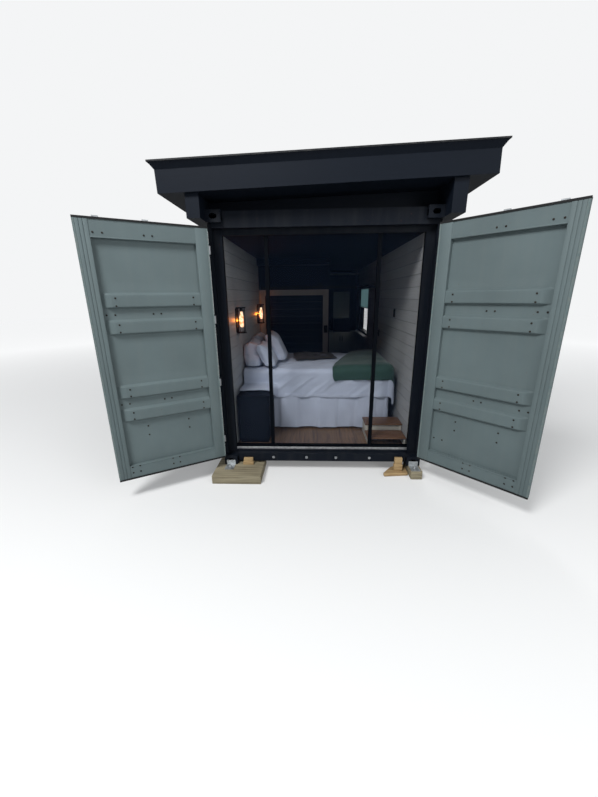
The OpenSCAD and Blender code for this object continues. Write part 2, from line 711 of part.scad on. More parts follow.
module kitchen_unit() color("#c9c7be") {
    box([partition_x, rear_in - unit_d, floor_top], [room_x, rear_in, floor_top + unit_h - 30]);
    box([partition_x, rear_in - unit_d - 20, floor_top + unit_h - 30], [room_x, rear_in, floor_top + unit_h]);
}

// wall cupboard over the worktop, and a closed box standing on it
module kitchen_cupboards() color("#20242b") {
    top = ceiling_z - 130;
    box([partition_x, rear_in - cupboard_d, top - cupboard_h], [0.77 * room_x, rear_in, top]);
    box([partition_x + 0.23 * room_x, rear_in - unit_d + 60, floor_top + unit_h],
        [partition_x + 0.64 * room_x, rear_in - 60, floor_top + unit_h + 340]);
}

// door leaf, closed, seen from its hinge pin: X runs along the leaf, Y into the room
module leaf_frame() {
    wall = 4;
    u1 = leaf_u0 + leaf_w;
    difference() {
        box([leaf_u0, leaf_v0, leaf_z], [u1, leaf_v1, leaf_top]);
        box([leaf_u0 + hinge_stile, leaf_v0 - 1, leaf_z + leaf_foot],
            [u1 - stile_w, leaf_v1 + 1, leaf_top - leaf_head]);
        box([leaf_u0 + wall, leaf_v0 + wall, leaf_z + wall],
            [leaf_u0 + hinge_stile - wall, leaf_v1 - wall, leaf_top - wall]);
        box([u1 - stile_w + wall, leaf_v0 + wall, leaf_z + wall], [u1 - wall, leaf_v1 - wall, leaf_top - wall]);
        box([leaf_u0 + wall, leaf_v0 + wall, leaf_z + wall], [u1 - wall, leaf_v1 - wall, leaf_z + leaf_foot - wall]);
        box([leaf_u0 + wall, leaf_v0 + wall, leaf_top - leaf_head + wall], [u1 - wall, leaf_v1 - wall, leaf_top - wall]);
    }
}

rib_u0 = leaf_u0 + hinge_stile;
rib_u1 = leaf_u0 + leaf_w - stile_w;
rib_end = 60;

// one pressed rib, run out in a slope at its free end; in > 0 gives the hollow behind it
module rib(in) {
    half = rib_w / 2 - in;
    face = panel_v + rib_d - in;
    far = rib_u1 - 2 * in;
    intersection() {
        along_x(rib_u0, far) polygon([[panel_v - 1, -half], [panel_v, -half], [face, -half + 22],
            [face, half - 22], [panel_v, half], [panel_v - 1, half]]);
        translate([0, 0, -half]) linear_extrude(2 * half) polygon([[rib_u0, panel_v - 1], [far, panel_v - 1],
            [far, panel_v], [far - rib_end, face], [rib_u0, face]]);
    }
}

// pressed panel with four ribs in two pairs
module leaf_panel() difference() {
    union() {
        box([rib_u0, panel_v - leaf_sheet, leaf_z + leaf_foot], [rib_u1, panel_v, leaf_top - leaf_head]);
        for (z = rib_zs) translate([0, 0, z]) rib(0);
    }
    for (z = rib_zs) translate([0, -leaf_sheet, z]) intersection() {
        rib(leaf_sheet);
        box([rib_u0 + 3, 0, -rib_w], [rib_u1, leaf_v1, rib_w]);
    }
}

module leaf_gasket() difference() {
    box([leaf_u0 - lip, leaf_v1 - 12, leaf_z - lip], [leaf_u0 + leaf_w + lip, lip_v, leaf_top + lip]);
    box([leaf_u0, leaf_v1 - 13, leaf_z], [leaf_u0 + leaf_w, leaf_v1, leaf_top]);
    box([leaf_u0 + 14, leaf_v1 - 13, leaf_z + 14], [leaf_u0 + leaf_w - 14, lip_v + 1, leaf_top - 14]);
}

// locking rods with cams, guides and handles, and the cranked hinge blades with their knuckles
module lock_rods() {
    v = leaf_v0 - rod_r - 6;
    for (u = [rod_near, rod_far]) {
        translate([u, v, leaf_z + 4]) cylinder(r = rod_r, h = leaf_h - 8, $fn = 32);
        for (z = [leaf_z - 30, leaf_top - 30]) box([u - 28, v - 18, z], [u + 28, v + 2, z + 60]);
        for (i = [0:3]) {
            box([u - 55, v - 4, guide_zs[i] - 28],
                [u + 55, i % 3 == 0 ? leaf_v0 : panel_v - leaf_sheet, guide_zs[i] + 28]);
            box([u - rod_r - 5, v - rod_r - 4, guide_zs[i] - 28], [u + rod_r + 5, v, guide_zs[i] + 28]);
        }
        box([u - rod_r - 3, v - rod_r - 6, handle_z - 40], [u + rod_r + 3, v + rod_r + 1, handle_z + 40]);
        box([u - handle_l, v - rod_r - 6, handle_z - 15], [u - 4, v - rod_r + 6, handle_z + 15]);
        box([u - 203, v - rod_r + 6, handle_z - 60], [u - 153, panel_v - leaf_sheet, handle_z + 60]);
    }
    for (z = hinge_zs) translate([0, 0, z]) difference() {
        union() {
            cylinder(r = knuckle_r, h = knuckle_h, center = true, $fn = 48);
            box([0, 4, -knuckle_h / 2], [24, knuckle_r, knuckle_h / 2]);
            box([10, 13, -knuckle_h / 2], [leaf_u0 + 80, 28, knuckle_h / 2]);
            box([leaf_u0 + 10, 27, -knuckle_h / 2], [leaf_u0 + 80, leaf_v0, knuckle_h / 2]);
        }
        cylinder(r = pin_r + 0.4, h = knuckle_h + 2, center = true, $fn = 48);
    }
}

module left_leaf() translate([-pin_x, pin_y, 0]) rotate(-left_open) children();
module right_leaf() translate([pin_x, pin_y, 0]) rotate(right_open) mirror([1, 0, 0]) children();

module left_leaf_frame() color("#9b9a92") left_leaf() leaf_frame();
module left_leaf_panel() color("#9b9a92") left_leaf() leaf_panel();
module left_leaf_gasket() color("#1c1c1c") left_leaf() leaf_gasket();
module left_lock_rods() color("#7d7f80") left_leaf() lock_rods();
module right_leaf_frame() color("#9b9a92") right_leaf() leaf_frame();
module right_leaf_panel() color("#9b9a92") right_leaf() leaf_panel();
module right_leaf_gasket() color("#1c1c1c") right_leaf() leaf_gasket();
module right_lock_rods() color("#7d7f80") right_leaf() lock_rods();

placed() {
    footings();
    hold_down_brackets();
    corner_castings();
    door_posts();
    hinge_lugs();
    side_rails();
    cross_members();
    front_sill();
    front_header();
    rear_frame();
    side_wall_left();
    side_wall_right();
    end_wall();
    container_roof();
    floor();
    lining_left();
    lining_right();
    lining_rear();
    ceiling();
    partition();
    door_track();
    sliding_door();
    door_hangers();
    threshold();
    glazing_frame();
    front_glass();
    window_frame();
    window_glass();
    window_blind();
    side_beams();
    closure_boards();
    soffit();
    roof_frame();
    fascia();
    roof_sheet();
    bed_base();
    mattress();
    duvet();
    pillows();
    green_throw();
    knit_throw();
    bedside_cabinet();
    step_stool();
    wall_lamps();
    lamp_bulbs();
    kitchen_unit();
    kitchen_cupboards();
    left_leaf_frame();
    left_leaf_panel();
    left_leaf_gasket();
    left_lock_rods();
    right_leaf_frame();
    right_leaf_panel();
    right_leaf_gasket();
    right_lock_rods();
}
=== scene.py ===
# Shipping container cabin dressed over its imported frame: materials, bedding, fasteners, lights and camera
import json
import math

import bpy
from mathutils import Matrix, Vector, noise


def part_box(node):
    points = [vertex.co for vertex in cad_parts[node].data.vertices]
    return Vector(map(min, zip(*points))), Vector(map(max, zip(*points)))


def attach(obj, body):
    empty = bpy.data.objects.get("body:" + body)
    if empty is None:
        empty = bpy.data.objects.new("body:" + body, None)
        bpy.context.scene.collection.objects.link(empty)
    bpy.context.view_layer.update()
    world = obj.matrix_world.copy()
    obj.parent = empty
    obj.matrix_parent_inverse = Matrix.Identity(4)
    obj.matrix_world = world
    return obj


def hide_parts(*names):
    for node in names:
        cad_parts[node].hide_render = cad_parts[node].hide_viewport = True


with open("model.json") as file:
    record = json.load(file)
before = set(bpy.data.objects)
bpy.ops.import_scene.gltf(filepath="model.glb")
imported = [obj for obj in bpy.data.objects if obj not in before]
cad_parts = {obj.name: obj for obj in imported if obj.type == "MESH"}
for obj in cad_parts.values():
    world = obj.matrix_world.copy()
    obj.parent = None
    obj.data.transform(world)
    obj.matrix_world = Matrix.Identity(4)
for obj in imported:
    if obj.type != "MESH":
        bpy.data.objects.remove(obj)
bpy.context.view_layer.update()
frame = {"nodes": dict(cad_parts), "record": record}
nodes = frame["nodes"]
scene = bpy.context.scene

castings_low, castings_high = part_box("corner_castings")
# the container's centre line at its front face, on the ground
ORIGIN = Vector(((castings_low[0] + castings_high[0]) / 2, castings_low[1], 0))


def linear(hex_code):
    """An sRGB hex colour as the linear RGBA that Blender's sockets take."""
    parts = [int(hex_code[i : i + 2], 16) / 255 for i in (1, 3, 5)]
    return [p / 12.92 if p <= 0.04045 else ((p + 0.055) / 1.055) ** 2.4 for p in parts] + [1]


def feed(tree, socket, value):
    """Link a socket to another one, or set it to a number, a vector or a hex colour."""
    if isinstance(value, bpy.types.NodeSocket):
        tree.links.new(value, socket)
    else:
        socket.default_value = linear(value) if isinstance(value, str) else value


def add(tree, kind, sockets=None, stops=(), **settings):
    """A new node with its settings, its inputs set or linked to other sockets, and a colour ramp's stops."""
    made = tree.nodes.new("ShaderNode" + kind)
    for index, (place, tone) in enumerate(stops):
        band = made.color_ramp.elements
        stop = band[index] if index < 2 else band.new(place)
        stop.position = place
        stop.color = linear(tone) if isinstance(tone, str) else (tone, tone, tone, 1)
    for name, value in settings.items():
        setattr(made, name, value)
    for key, value in (sockets or {}).items():
        feed(tree, made.inputs[key], value)
    return made


def material(name):
    """An empty material: returns it, its tree and the place on the piece, in metres."""
    made = bpy.data.materials.new(name)
    made.use_nodes = True
    tree = made.node_tree
    return made, tree, add(tree, "TexCoord").outputs["Object"]


def finished(made, colour, shades, inputs, bump=None):
    """Give a material its colour, multiplied by each shade in turn, its shader's inputs and its bump.

    bump is a height, its strength and the real distance in metres that it stands for.
    """
    tree = made.node_tree
    for shade in shades:
        mixed = add(tree, "MixRGB", {"Fac": 1.0, "Color1": colour, "Color2": shade}, blend_type="MULTIPLY")
        colour = mixed.outputs[0]
    inputs = {"Base Color": colour, **inputs}
    if bump:
        height, strength, distance = bump
        raised = add(tree, "Bump", {"Height": height, "Strength": strength, "Distance": distance})
        inputs["Normal"] = raised.outputs["Normal"]
    for key, value in inputs.items():
        feed(tree, tree.nodes["Principled BSDF"].inputs[key], value)
    return made


# a noise texture's scale is its cells to the metre: at 46 a grain has streaks about 22 mm wide


def painted_steel(name, colour, dust, rust, rough, shine=0.2):
    """Brushed-on satin paint over rolled steel: faint orange peel, upright streaks of dust, rust freckles."""
    made, tree, place = material(name)
    patches = add(tree, "TexNoise", {"Vector": place, "Scale": 2.2, "Detail": 4.0}).outputs["Fac"]
    streak_place = add(tree, "Mapping", {"Vector": place, "Scale": (9, 9, 0.9)}).outputs["Vector"]
    streaks = add(tree, "TexNoise", {"Vector": streak_place, "Scale": 1.6, "Detail": 5.0}).outputs["Fac"]
    grit = {"Vector": place, "Scale": 34, "Detail": 6.0, "Roughness": 0.7}
    freckles = add(tree, "TexNoise", grit).outputs["Fac"]
    peel = add(tree, "TexNoise", {"Vector": place, "Scale": 260, "Detail": 2.0}).outputs["Fac"]
    grime = add(tree, "ValToRGB", {"Fac": streaks}, stops=[(0.42, 0.0), (0.72, dust)]).outputs[0]
    toned = add(tree, "MixRGB", {"Fac": grime, "Color1": colour, "Color2": "#8d8a80"}).outputs[0]
    cloud = add(tree, "ValToRGB", {"Fac": patches}, stops=[(0.3, 0.86), (0.7, 1.0)]).outputs[0]
    clouded = add(tree, "MixRGB", {"Fac": 1.0, "Color1": toned, "Color2": cloud}, blend_type="MULTIPLY")
    spots = add(tree, "ValToRGB", {"Fac": freckles}, stops=[(0.66, 0.0), (0.74, rust)]).outputs[0]
    rusted = add(tree, "MixRGB", {"Fac": spots, "Color1": clouded.outputs[0], "Color2": "#5d3420"}).outputs[0]
    worn = [(0.3, rough - 0.06), (0.75, rough + 0.14)]
    gloss = add(tree, "ValToRGB", {"Fac": patches}, stops=worn).outputs[0]
    return finished(made, rusted, [], {"Roughness": gloss, "Specular IOR Level": shine}, (peel, 0.25, 0.0006))


def sawn_wood(name, colour, dark, rough, along="Y"):
    """Sawn softwood: long grain lines along one axis, with open pores."""
    made, tree, place = material(name)
    squeeze = {"X": (0.06, 1, 1), "Y": (1, 0.06, 1), "Z": (1, 1, 0.06)}[along]
    stretched = add(tree, "Mapping", {"Vector": place, "Scale": squeeze}).outputs["Vector"]
    lines = {"Vector": stretched, "Scale": 46.0, "Detail": 6.0, "Roughness": 0.6}
    grain = add(tree, "TexNoise", lines).outputs["Fac"]
    broad = add(tree, "TexNoise", {"Vector": place, "Scale": 3.0, "Detail": 3.0}).outputs["Fac"]
    tone = add(tree, "ValToRGB", {"Fac": grain}, stops=[(0.36, dark), (0.62, colour)]).outputs[0]
    weather = add(tree, "ValToRGB", {"Fac": broad}, stops=[(0.3, 0.82), (0.7, 1.0)]).outputs[0]
    return finished(made, tone, [weather], {"Roughness": rough}, (grain, 0.35, 0.0015))


def painted_board(name, colour, rough, along="Y", shine=0.25):
    """Painted softwood board: the grain shows faintly through the paint."""
    made, tree, place = material(name)
    squeeze = {"X": (0.05, 1, 1), "Y": (1, 0.05, 1), "Z": (1, 1, 0.05)}[along]
    stretched = add(tree, "Mapping", {"Vector": place, "Scale": squeeze}).outputs["Vector"]
    grain = add(tree, "TexNoise", {"Vector": stretched, "Scale": 60.0, "Detail": 5.0}).outputs["Fac"]
    broad = add(tree, "TexNoise", {"Vector": place, "Scale": 1.7, "Detail": 4.0}).outputs["Fac"]
    shade = add(tree, "ValToRGB", {"Fac": grain}, stops=[(0.35, 0.93), (0.6, 1.0)]).outputs[0]
    wear = add(tree, "ValToRGB", {"Fac": broad}, stops=[(0.3, 0.92), (0.65, 1.0)]).outputs[0]
    looks = {"Roughness": rough, "Specular IOR Level": shine}
    return finished(made, colour, [shade, wear], looks, (grain, 0.2, 0.0008))


def bare_metal(name, colour, rough):
    """Rolled or plated metal with faint draw lines and handling marks."""
    made, tree, place = material(name)
    stretched = add(tree, "Mapping", {"Vector": place, "Scale": (6, 240, 240)}).outputs["Vector"]
    lines = add(tree, "TexNoise", {"Vector": stretched, "Scale": 1.0, "Detail": 3.0}).outputs["Fac"]
    marks = add(tree, "TexNoise", {"Vector": place, "Scale": 40, "Detail": 5.0}).outputs["Fac"]
    tone = add(tree, "ValToRGB", {"Fac": marks}, stops=[(0.35, 0.78), (0.6, 1.0)]).outputs[0]
    gloss = add(tree, "ValToRGB", {"Fac": marks}, stops=[(0.3, rough), (0.7, rough + 0.2)]).outputs[0]
    return finished(made, colour, [tone], {"Metallic": 1.0, "Roughness": gloss}, (lines, 0.12, 0.0004))


def woven_cloth(name, colour, thread, rough=0.9, sheen=0.2, bump=0.5, glow=0.0):
    """Woven cloth: crossed threads as wide as thread metres, with a soft sheen."""
    made, tree, place = material(name)
    # a wave texture's period in metres is 0.314 divided by its scale
    waves = {"Vector": place, "Scale": 0.32 / thread, "Distortion": 1.0, "Detail": 1.0}
    across = add(tree, "TexWave", waves, wave_type="BANDS", bands_direction="X").outputs["Fac"]
    down = add(tree, "TexWave", waves, wave_type="BANDS", bands_direction="DIAGONAL").outputs["Fac"]
    weave = add(tree, "Math", {0: across, 1: down}, operation="MULTIPLY").outputs[0]
    broad = add(tree, "TexNoise", {"Vector": place, "Scale": 5.0, "Detail": 4.0}).outputs["Fac"]
    tone = add(tree, "ValToRGB", {"Fac": broad}, stops=[(0.3, 0.93), (0.7, 1.0)]).outputs[0]
    mixed = add(tree, "MixRGB", {"Fac": 1.0, "Color1": colour, "Color2": tone}, blend_type="MULTIPLY")
    dyed = mixed.outputs[0]
    looks = {"Roughness": rough, "Sheen Weight": sheen}
    if glow:
        # painted backlight: the cloth glows in its own colour, as if daylight came through it
        looks |= {"Emission Color": dyed, "Emission Strength": glow}
    return finished(made, dyed, [], looks, (weave, bump, thread * 0.5))


SHIPLAP_FOOT, SHIPLAP_DEEP = 0.283, 0.139


def shiplap(name, colour, rough):
    """Painted shiplap: level boards, each a little off the next in tone, dark in the joints."""
    made, tree, place = material(name)
    rise = add(tree, "SeparateXYZ", {"Vector": place}).outputs["Z"]
    shifted = add(tree, "Math", {0: rise, 1: SHIPLAP_FOOT}, operation="SUBTRACT").outputs[0]
    count = add(tree, "Math", {0: shifted, 1: SHIPLAP_DEEP}, operation="DIVIDE").outputs[0]
    board_number = add(tree, "Math", {0: count}, operation="FLOOR").outputs[0]
    across = add(tree, "Math", {0: count}, operation="FRACT").outputs[0]
    tint = add(tree, "TexWhiteNoise", {"W": board_number}, noise_dimensions="1D").outputs["Value"]
    tone = add(tree, "ValToRGB", {"Fac": tint}, stops=[(0.0, 0.86), (1.0, 1.0)]).outputs[0]
    edges = [(0.0, 0.25), (0.035, 1.0), (0.975, 1.0), (1.0, 0.5)]
    joint = add(tree, "ValToRGB", {"Fac": across}, stops=edges).outputs[0]
    long_grain = add(tree, "Mapping", {"Vector": place, "Scale": (1, 0.05, 1)}).outputs["Vector"]
    grain = add(tree, "TexNoise", {"Vector": long_grain, "Scale": 55.0, "Detail": 5.0}).outputs["Fac"]
    faint = add(tree, "ValToRGB", {"Fac": grain}, stops=[(0.35, 0.92), (0.62, 1.0)]).outputs[0]
    looks = {"Roughness": rough, "Specular IOR Level": 0.3}
    return finished(made, colour, [tone, faint, joint], looks, (grain, 0.2, 0.0008))


PLANK_WIDE, PLANK_LONG = 0.19, 1.2


def plank_floor(name, colour, dark, rough):
    """Laminate planks laid along the room: streaky print, tight dark joints."""
    made, tree, place = material(name)
    parts = add(tree, "SeparateXYZ", {"Vector": place}).outputs
    count = add(tree, "Math", {0: parts["X"], 1: PLANK_WIDE}, operation="DIVIDE").outputs[0]
    plank = add(tree, "Math", {0: count}, operation="FLOOR").outputs[0]
    across = add(tree, "Math", {0: count}, operation="FRACT").outputs[0]
    tint = add(tree, "TexWhiteNoise", {"W": plank}, noise_dimensions="1D").outputs["Value"]
    run = add(tree, "Math", {0: parts["Y"], 1: PLANK_LONG}, operation="DIVIDE").outputs[0]
    step = add(tree, "Math", {0: run, 1: tint}, operation="ADD").outputs[0]
    ends = add(tree, "Math", {0: step}, operation="FRACT").outputs[0]
    pieces = add(tree, "Math", {0: step}, operation="FLOOR").outputs[0]
    both = add(tree, "CombineXYZ", {"X": plank, "Y": pieces}).outputs[0]
    shade = add(tree, "TexWhiteNoise", {"Vector": both}, noise_dimensions="2D").outputs["Value"]
    tone = add(tree, "ValToRGB", {"Fac": shade}, stops=[(0.0, 0.78), (1.0, 1.0)]).outputs[0]
    edges = [(0.0, 0.3), (0.02, 1.0), (0.98, 1.0), (1.0, 0.3)]
    side = add(tree, "ValToRGB", {"Fac": across}, stops=edges).outputs[0]
    butt = add(tree, "ValToRGB", {"Fac": ends}, stops=[(0.0, 0.35), (0.004, 1.0)]).outputs[0]
    long_grain = add(tree, "Mapping", {"Vector": place, "Scale": (1, 0.07, 1)}).outputs["Vector"]
    streaks = {"Vector": long_grain, "Scale": 38.0, "Detail": 6.0, "Roughness": 0.6}
    grain = add(tree, "TexNoise", streaks).outputs["Fac"]
    wood = add(tree, "ValToRGB", {"Fac": grain}, stops=[(0.34, dark), (0.62, colour)]).outputs[0]
    return finished(made, wood, [tone, side, butt], {"Roughness": rough}, (grain, 0.15, 0.0006))


SEAL_FOOT, SEAL_TOP = 0.266, 2.808


def door_seal(name, dark, side_grey):
    """Rubber door seal: black along the top and the foot, grey down the long edges."""
    made, tree, place = material(name)
    rise = add(tree, "SeparateXYZ", {"Vector": place}).outputs["Z"]
    high = add(tree, "Math", {0: rise, 1: SEAL_TOP}, operation="GREATER_THAN").outputs[0]
    low = add(tree, "Math", {0: rise, 1: SEAL_FOOT}, operation="LESS_THAN").outputs[0]
    ends = add(tree, "Math", {0: high, 1: low}, operation="MAXIMUM").outputs[0]
    chalky = add(tree, "TexNoise", {"Vector": place, "Scale": 40, "Detail": 4.0}).outputs["Fac"]
    long_edge_grey = add(tree, "ValToRGB", {"Fac": chalky}, stops=[(0.3, "#687170"), (0.7, side_grey)]).outputs[0]
    mixed = add(tree, "MixRGB", {"Fac": ends, "Color1": long_edge_grey, "Color2": dark}).outputs[0]
    return finished(made, mixed, [], {"Roughness": 0.8, "Specular IOR Level": 0.25}, (chalky, 0.3, 0.0008))


def clear_glass(name, colour, alpha):
    """Glass, mostly clear: its gloss tinted blue as a painted sky reflection, and a dark navy tint that lays
    painted shade over what lies behind it.
    """
    made, tree, place = material(name)
    smear = add(tree, "TexNoise", {"Vector": place, "Scale": 3.0, "Detail": 6.0}).outputs["Fac"]
    gloss = add(tree, "ValToRGB", {"Fac": smear}, stops=[(0.4, 0.02), (0.8, 0.07)]).outputs[0]
    looks = {"Roughness": gloss, "Alpha": alpha, "IOR": 1.52, "Specular Tint": "#8fb0e0"}
    return finished(made, colour, [], looks)


def lit_glass(name, colour, strength):
    """Warm lamp glass that glows."""
    made, tree, place = material(name)
    glow = add(tree, "TexNoise", {"Vector": place, "Scale": 30.0}).outputs["Fac"]
    tone = add(tree, "ValToRGB", {"Fac": glow}, stops=[(0.3, colour), (0.7, "#fff0cf")]).outputs[0]
    looks = {"Emission Color": tone, "Emission Strength": strength, "Roughness": 0.15}
    return finished(made, tone, [], looks)


finishes = {
    "block": sawn_wood("weathered_softwood", "#8f8770", "#6a624e", 0.85, "X"),
    "galvanised": bare_metal("galvanised_steel", "#bcc0c2", 0.42),
    "black_steel": painted_steel("black_enamel_on_steel", "#0c121b", 0.02, 0.35, 0.55, 0.1),
    "floor_wood": plank_floor("brown_laminate_planks", "#80644c", "#524036", 0.45),
    "white_board": painted_board("white_painted_pine", "#c9cac8", 0.5),
    "white_board_x": painted_board("white_painted_stool_board", "#b9b7ae", 0.5, "X"),
    "side_lining": shiplap("painted_shiplap_boards", "#aeb1b3", 0.6),
    "dark_board": painted_board("navy_painted_pine", "#0c1424", 0.6, "Y", 0.08),
    "dark_board_x": painted_board("navy_painted_crosswise_pine", "#0b1324", 0.6, "X", 0.08),
    "door_board": painted_board("greige_painted_pine", "#8c8780", 0.5, "Z"),
    "black_trim": painted_steel("black_powder_coat", "#08090c", 0.03, 0.0, 0.55, 0.12),
    "bright_aluminium": bare_metal("mill_aluminium", "#e6e8ea", 0.3),
    "black_aluminium": painted_steel("black_anodised_frame", "#04070d", 0.0, 0.0, 0.5, 0.04),
    # glass with a painted blue sky reflection and a dark tint of painted shade
    "clear_glass": clear_glass("glass_with_painted_blue_reflection", "#060c16", 0.15),
    # the blind glows with painted backlight
    "blind_fabric": woven_cloth("roller_blind_polyester", "#9dd0d3", 0.002, glow=0.26),
    "dark_timber": painted_board("midnight_stained_board", "#0c131d", 0.6, "X", 0.12),
    "raw_timber": sawn_wood("construction_pine", "#b39a70", "#8e7450", 0.8, "X"),
    "roof_metal": painted_steel("dark_roof_sheet", "#12151a", 0.06, 0.05, 0.5),
    # white cotton, tinted blue-grey as painted shade
    "white_linen": woven_cloth("white_cotton_blued_for_shade", "#bcc6da", 0.0024, bump=0.35),
    "ticking": woven_cloth("cotton_ticking", "#d5d3cc", 0.003),
    "green_velvet": woven_cloth("green_velvet", "#1c4239", 0.003, 0.75, 0.22),
    "brown_knit": woven_cloth("brown_boucle", "#241c19", 0.012, 0.95, 0.1, 0.9),
    "cabinet_wood": painted_board("charcoal_painted_board", "#10151e", 0.5, "Z", 0.08),
    "unit_paint": painted_board("putty_painted_board", "#8d9089", 0.5, "Z"),
    "stool_wood": sawn_wood("oiled_hardwood", "#7d5a3f", "#4b3324", 0.45, "X"),
    "warm_bulb": lit_glass("warm_lamp_glass", "#ff8a28", 1.7),
    # the leaves' grey paint, darkened and blued as painted shade: the paint itself is a lighter grey
    "leaf_paint": painted_steel("grey_paint_darkened_for_shade", "#5c696b", 0.03, 0.5, 0.6),
    "seal_rubber": door_seal("door_seal_grey_down_sides", "#1a1b1c", "#59696b"),
    "rod_zinc": bare_metal("zinc_plated_steel", "#a6a9ac", 0.45),
    "rusty_bolt": painted_steel("rusted_bolt_steel", "#221d1b", 0.1, 0.9, 0.85),
}

slot_of = {part["node"]: part["material_slot"] for part in frame["record"]["subparts"]}
for name, node in nodes.items():
    node.data.materials.clear()
    node.data.materials.append(finishes[slot_of[name]])
refinished = {"lining_left": "side_lining", "lining_right": "side_lining", "lining_rear": "dark_board_x",
              "partition": "dark_board_x", "kitchen_cupboards": "dark_board_x", "kitchen_unit": "unit_paint"}
for name, finish in refinished.items():
    nodes[name].data.materials[0] = finishes[finish]


def at(x, y, z):
    """A point measured from the container's centre line, its front face and the ground."""
    return ORIGIN + Vector((x, y, z))


def only(piece):
    bpy.ops.object.select_all(action="DESELECT")
    piece.select_set(True)
    bpy.context.view_layer.objects.active = piece


def finish_piece(piece, name, finish, body="cabin", slot=None, smooth=35):
    """Name a piece, give it its finish and its body, and leave its place in its mesh.

    slot is not used.
    """
    only(piece)
    bpy.ops.object.transform_apply(location=True, rotation=True, scale=True)
    if smooth:
        bpy.ops.object.shade_smooth_by_angle(angle=math.radians(smooth))
    piece.name = name
    piece.data.name = name
    piece.data.materials.clear()
    piece.data.materials.append(finishes[finish])
    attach(piece, body)
    slot or finish
    return piece


def modify(piece, kind, **settings):
    """Add a modifier and apply it."""
    only(piece)
    made = piece.modifiers.new("step", kind)
    for key, value in settings.items():
        setattr(made, key, value)
    bpy.ops.object.modifier_apply(modifier=made.name)


def shape(piece, kind, test, operator, **settings):
    """Select the faces, edges or corners that pass a test, and run one edit-mode operator on them."""
    only(piece)
    bpy.ops.object.mode_set(mode="EDIT")
    bpy.ops.mesh.select_mode(type=kind)
    bpy.ops.mesh.select_all(action="DESELECT")
    bpy.ops.object.mode_set(mode="OBJECT")
    mesh = piece.data
    parts = {"FACE": mesh.polygons, "EDGE": mesh.edges, "VERT": mesh.vertices}[kind]
    for part in parts:
        part.select = test(part)
    bpy.ops.object.mode_set(mode="EDIT")
    operator(**settings)
    bpy.ops.object.mode_set(mode="OBJECT")


def block(middle, size):
    """A box of a size about its middle."""
    bpy.ops.object.select_all(action="DESELECT")
    bpy.ops.mesh.primitive_cube_add(size=1, location=middle, scale=size)
    bpy.ops.object.transform_apply(location=True, rotation=True, scale=True)
    return bpy.context.active_object


def cube(low, high):
    """A box between two corners in container coordinates."""
    low, high = at(*low), at(*high)
    return block((low + high) / 2, high - low)


def eased(piece, edge, steps=2):
    """A piece with all its edges eased."""
    shape(piece, "EDGE", lambda e: True, bpy.ops.mesh.bevel, offset=edge, segments=steps)
    return piece


def stepped(piece, facing, rim, rise, keep):
    """Inset what looks along facing by rim, then move the faces there that pass a test along it by rise."""
    facing = Vector(facing)
    shape(piece, "FACE", lambda f: f.normal.dot(facing) > 0.9, bpy.ops.mesh.inset, thickness=rim)
    shape(piece, "FACE", lambda f: f.normal.dot(facing) > 0.9 and keep(f), bpy.ops.mesh.extrude_region_move,
          TRANSFORM_OT_translate={"value": tuple(facing * rise)})


def anywhere(face):
    return True


def at_middle(face):
    return face.center.xy.length < 0.001


def drum(radius, depth, sides):
    """A short cylinder about the origin, its axis upright."""
    bpy.ops.object.select_all(action="DESELECT")
    bpy.ops.mesh.primitive_cylinder_add(vertices=sides, radius=radius, depth=depth)
    return bpy.context.active_object


def joined(pieces):
    """Join pieces of one finish into one object."""
    bpy.ops.object.select_all(action="DESELECT")
    for piece in pieces:
        piece.select_set(True)
    bpy.context.view_layer.objects.active = pieces[0]
    if len(pieces) > 1:
        bpy.ops.object.join()
    return bpy.context.active_object


def copies(piece, moves):
    """Copies of a pattern piece, one for each matrix, each with its own mesh. The pattern is removed."""
    twins = []
    for move in moves:
        twin = piece.copy()
        twin.data = piece.data.copy()
        scene.collection.objects.link(twin)
        twin.data.transform(move)
        twins.append(twin)
    bpy.data.objects.remove(piece)
    return twins


def moved(x, y, z):
    return Matrix.Translation(Vector((x, y, z)))


def board(low, high, edge=0.002, steps=2):
    """A planed board or a plate between two corners, its edges eased."""
    return eased(cube(low, high), edge, steps)


def cloth(columns, rows, place):
    """A grid of cloth whose corners place(u, v) lays, u and v running from 0 to 1."""
    bpy.ops.object.select_all(action="DESELECT")
    bpy.ops.mesh.primitive_grid_add(x_subdivisions=columns, y_subdivisions=rows, size=1)
    piece = bpy.context.active_object
    for corner in piece.data.vertices:
        corner.co = place(corner.co.x + 0.5, corner.co.y + 0.5)
    return piece


def ripple(x, y, z=0.0):
    """Smooth noise from -1 to 1."""
    return noise.noise(Vector((x, y, z)))


def laid(a, b, low, high, top, roll):
    """Where a flat cloth's point goes over a block: its place, and how far down the side it hangs."""
    inner = Vector((min(max(a, low[0]), high[0]), min(max(b, low[1]), high[1])))
    out = Vector((a, b)) - inner
    far = out.length
    way = out / far if far > 1e-9 else Vector((0, 0))
    far *= 1 - 0.13 * (2 * way.x * way.y) ** 2
    if far < roll * math.pi / 2:
        reach, drop = roll * math.sin(far / roll), roll * (1 - math.cos(far / roll))
    else:
        reach, drop = roll, roll + far - roll * math.pi / 2
    return inner, way, reach, drop


BED_LOW, BED_HIGH = Vector((-1.085, 0.79)), Vector((1.02, 2.22))
DUVET_TOP = 1.19
DUVET_ROLL = 0.07
COVER_THICK = 0.014
# how far the cover hangs past the bed at its foot and at each side, and so its flat size
FOOT_DROP, SIDE_DROP = 0.37, 0.395
COVER_WIDE, COVER_LONG = BED_HIGH.x - BED_LOW.x + FOOT_DROP, BED_HIGH.y - BED_LOW.y + 2 * SIDE_DROP
CABINET_TOP = 0.933


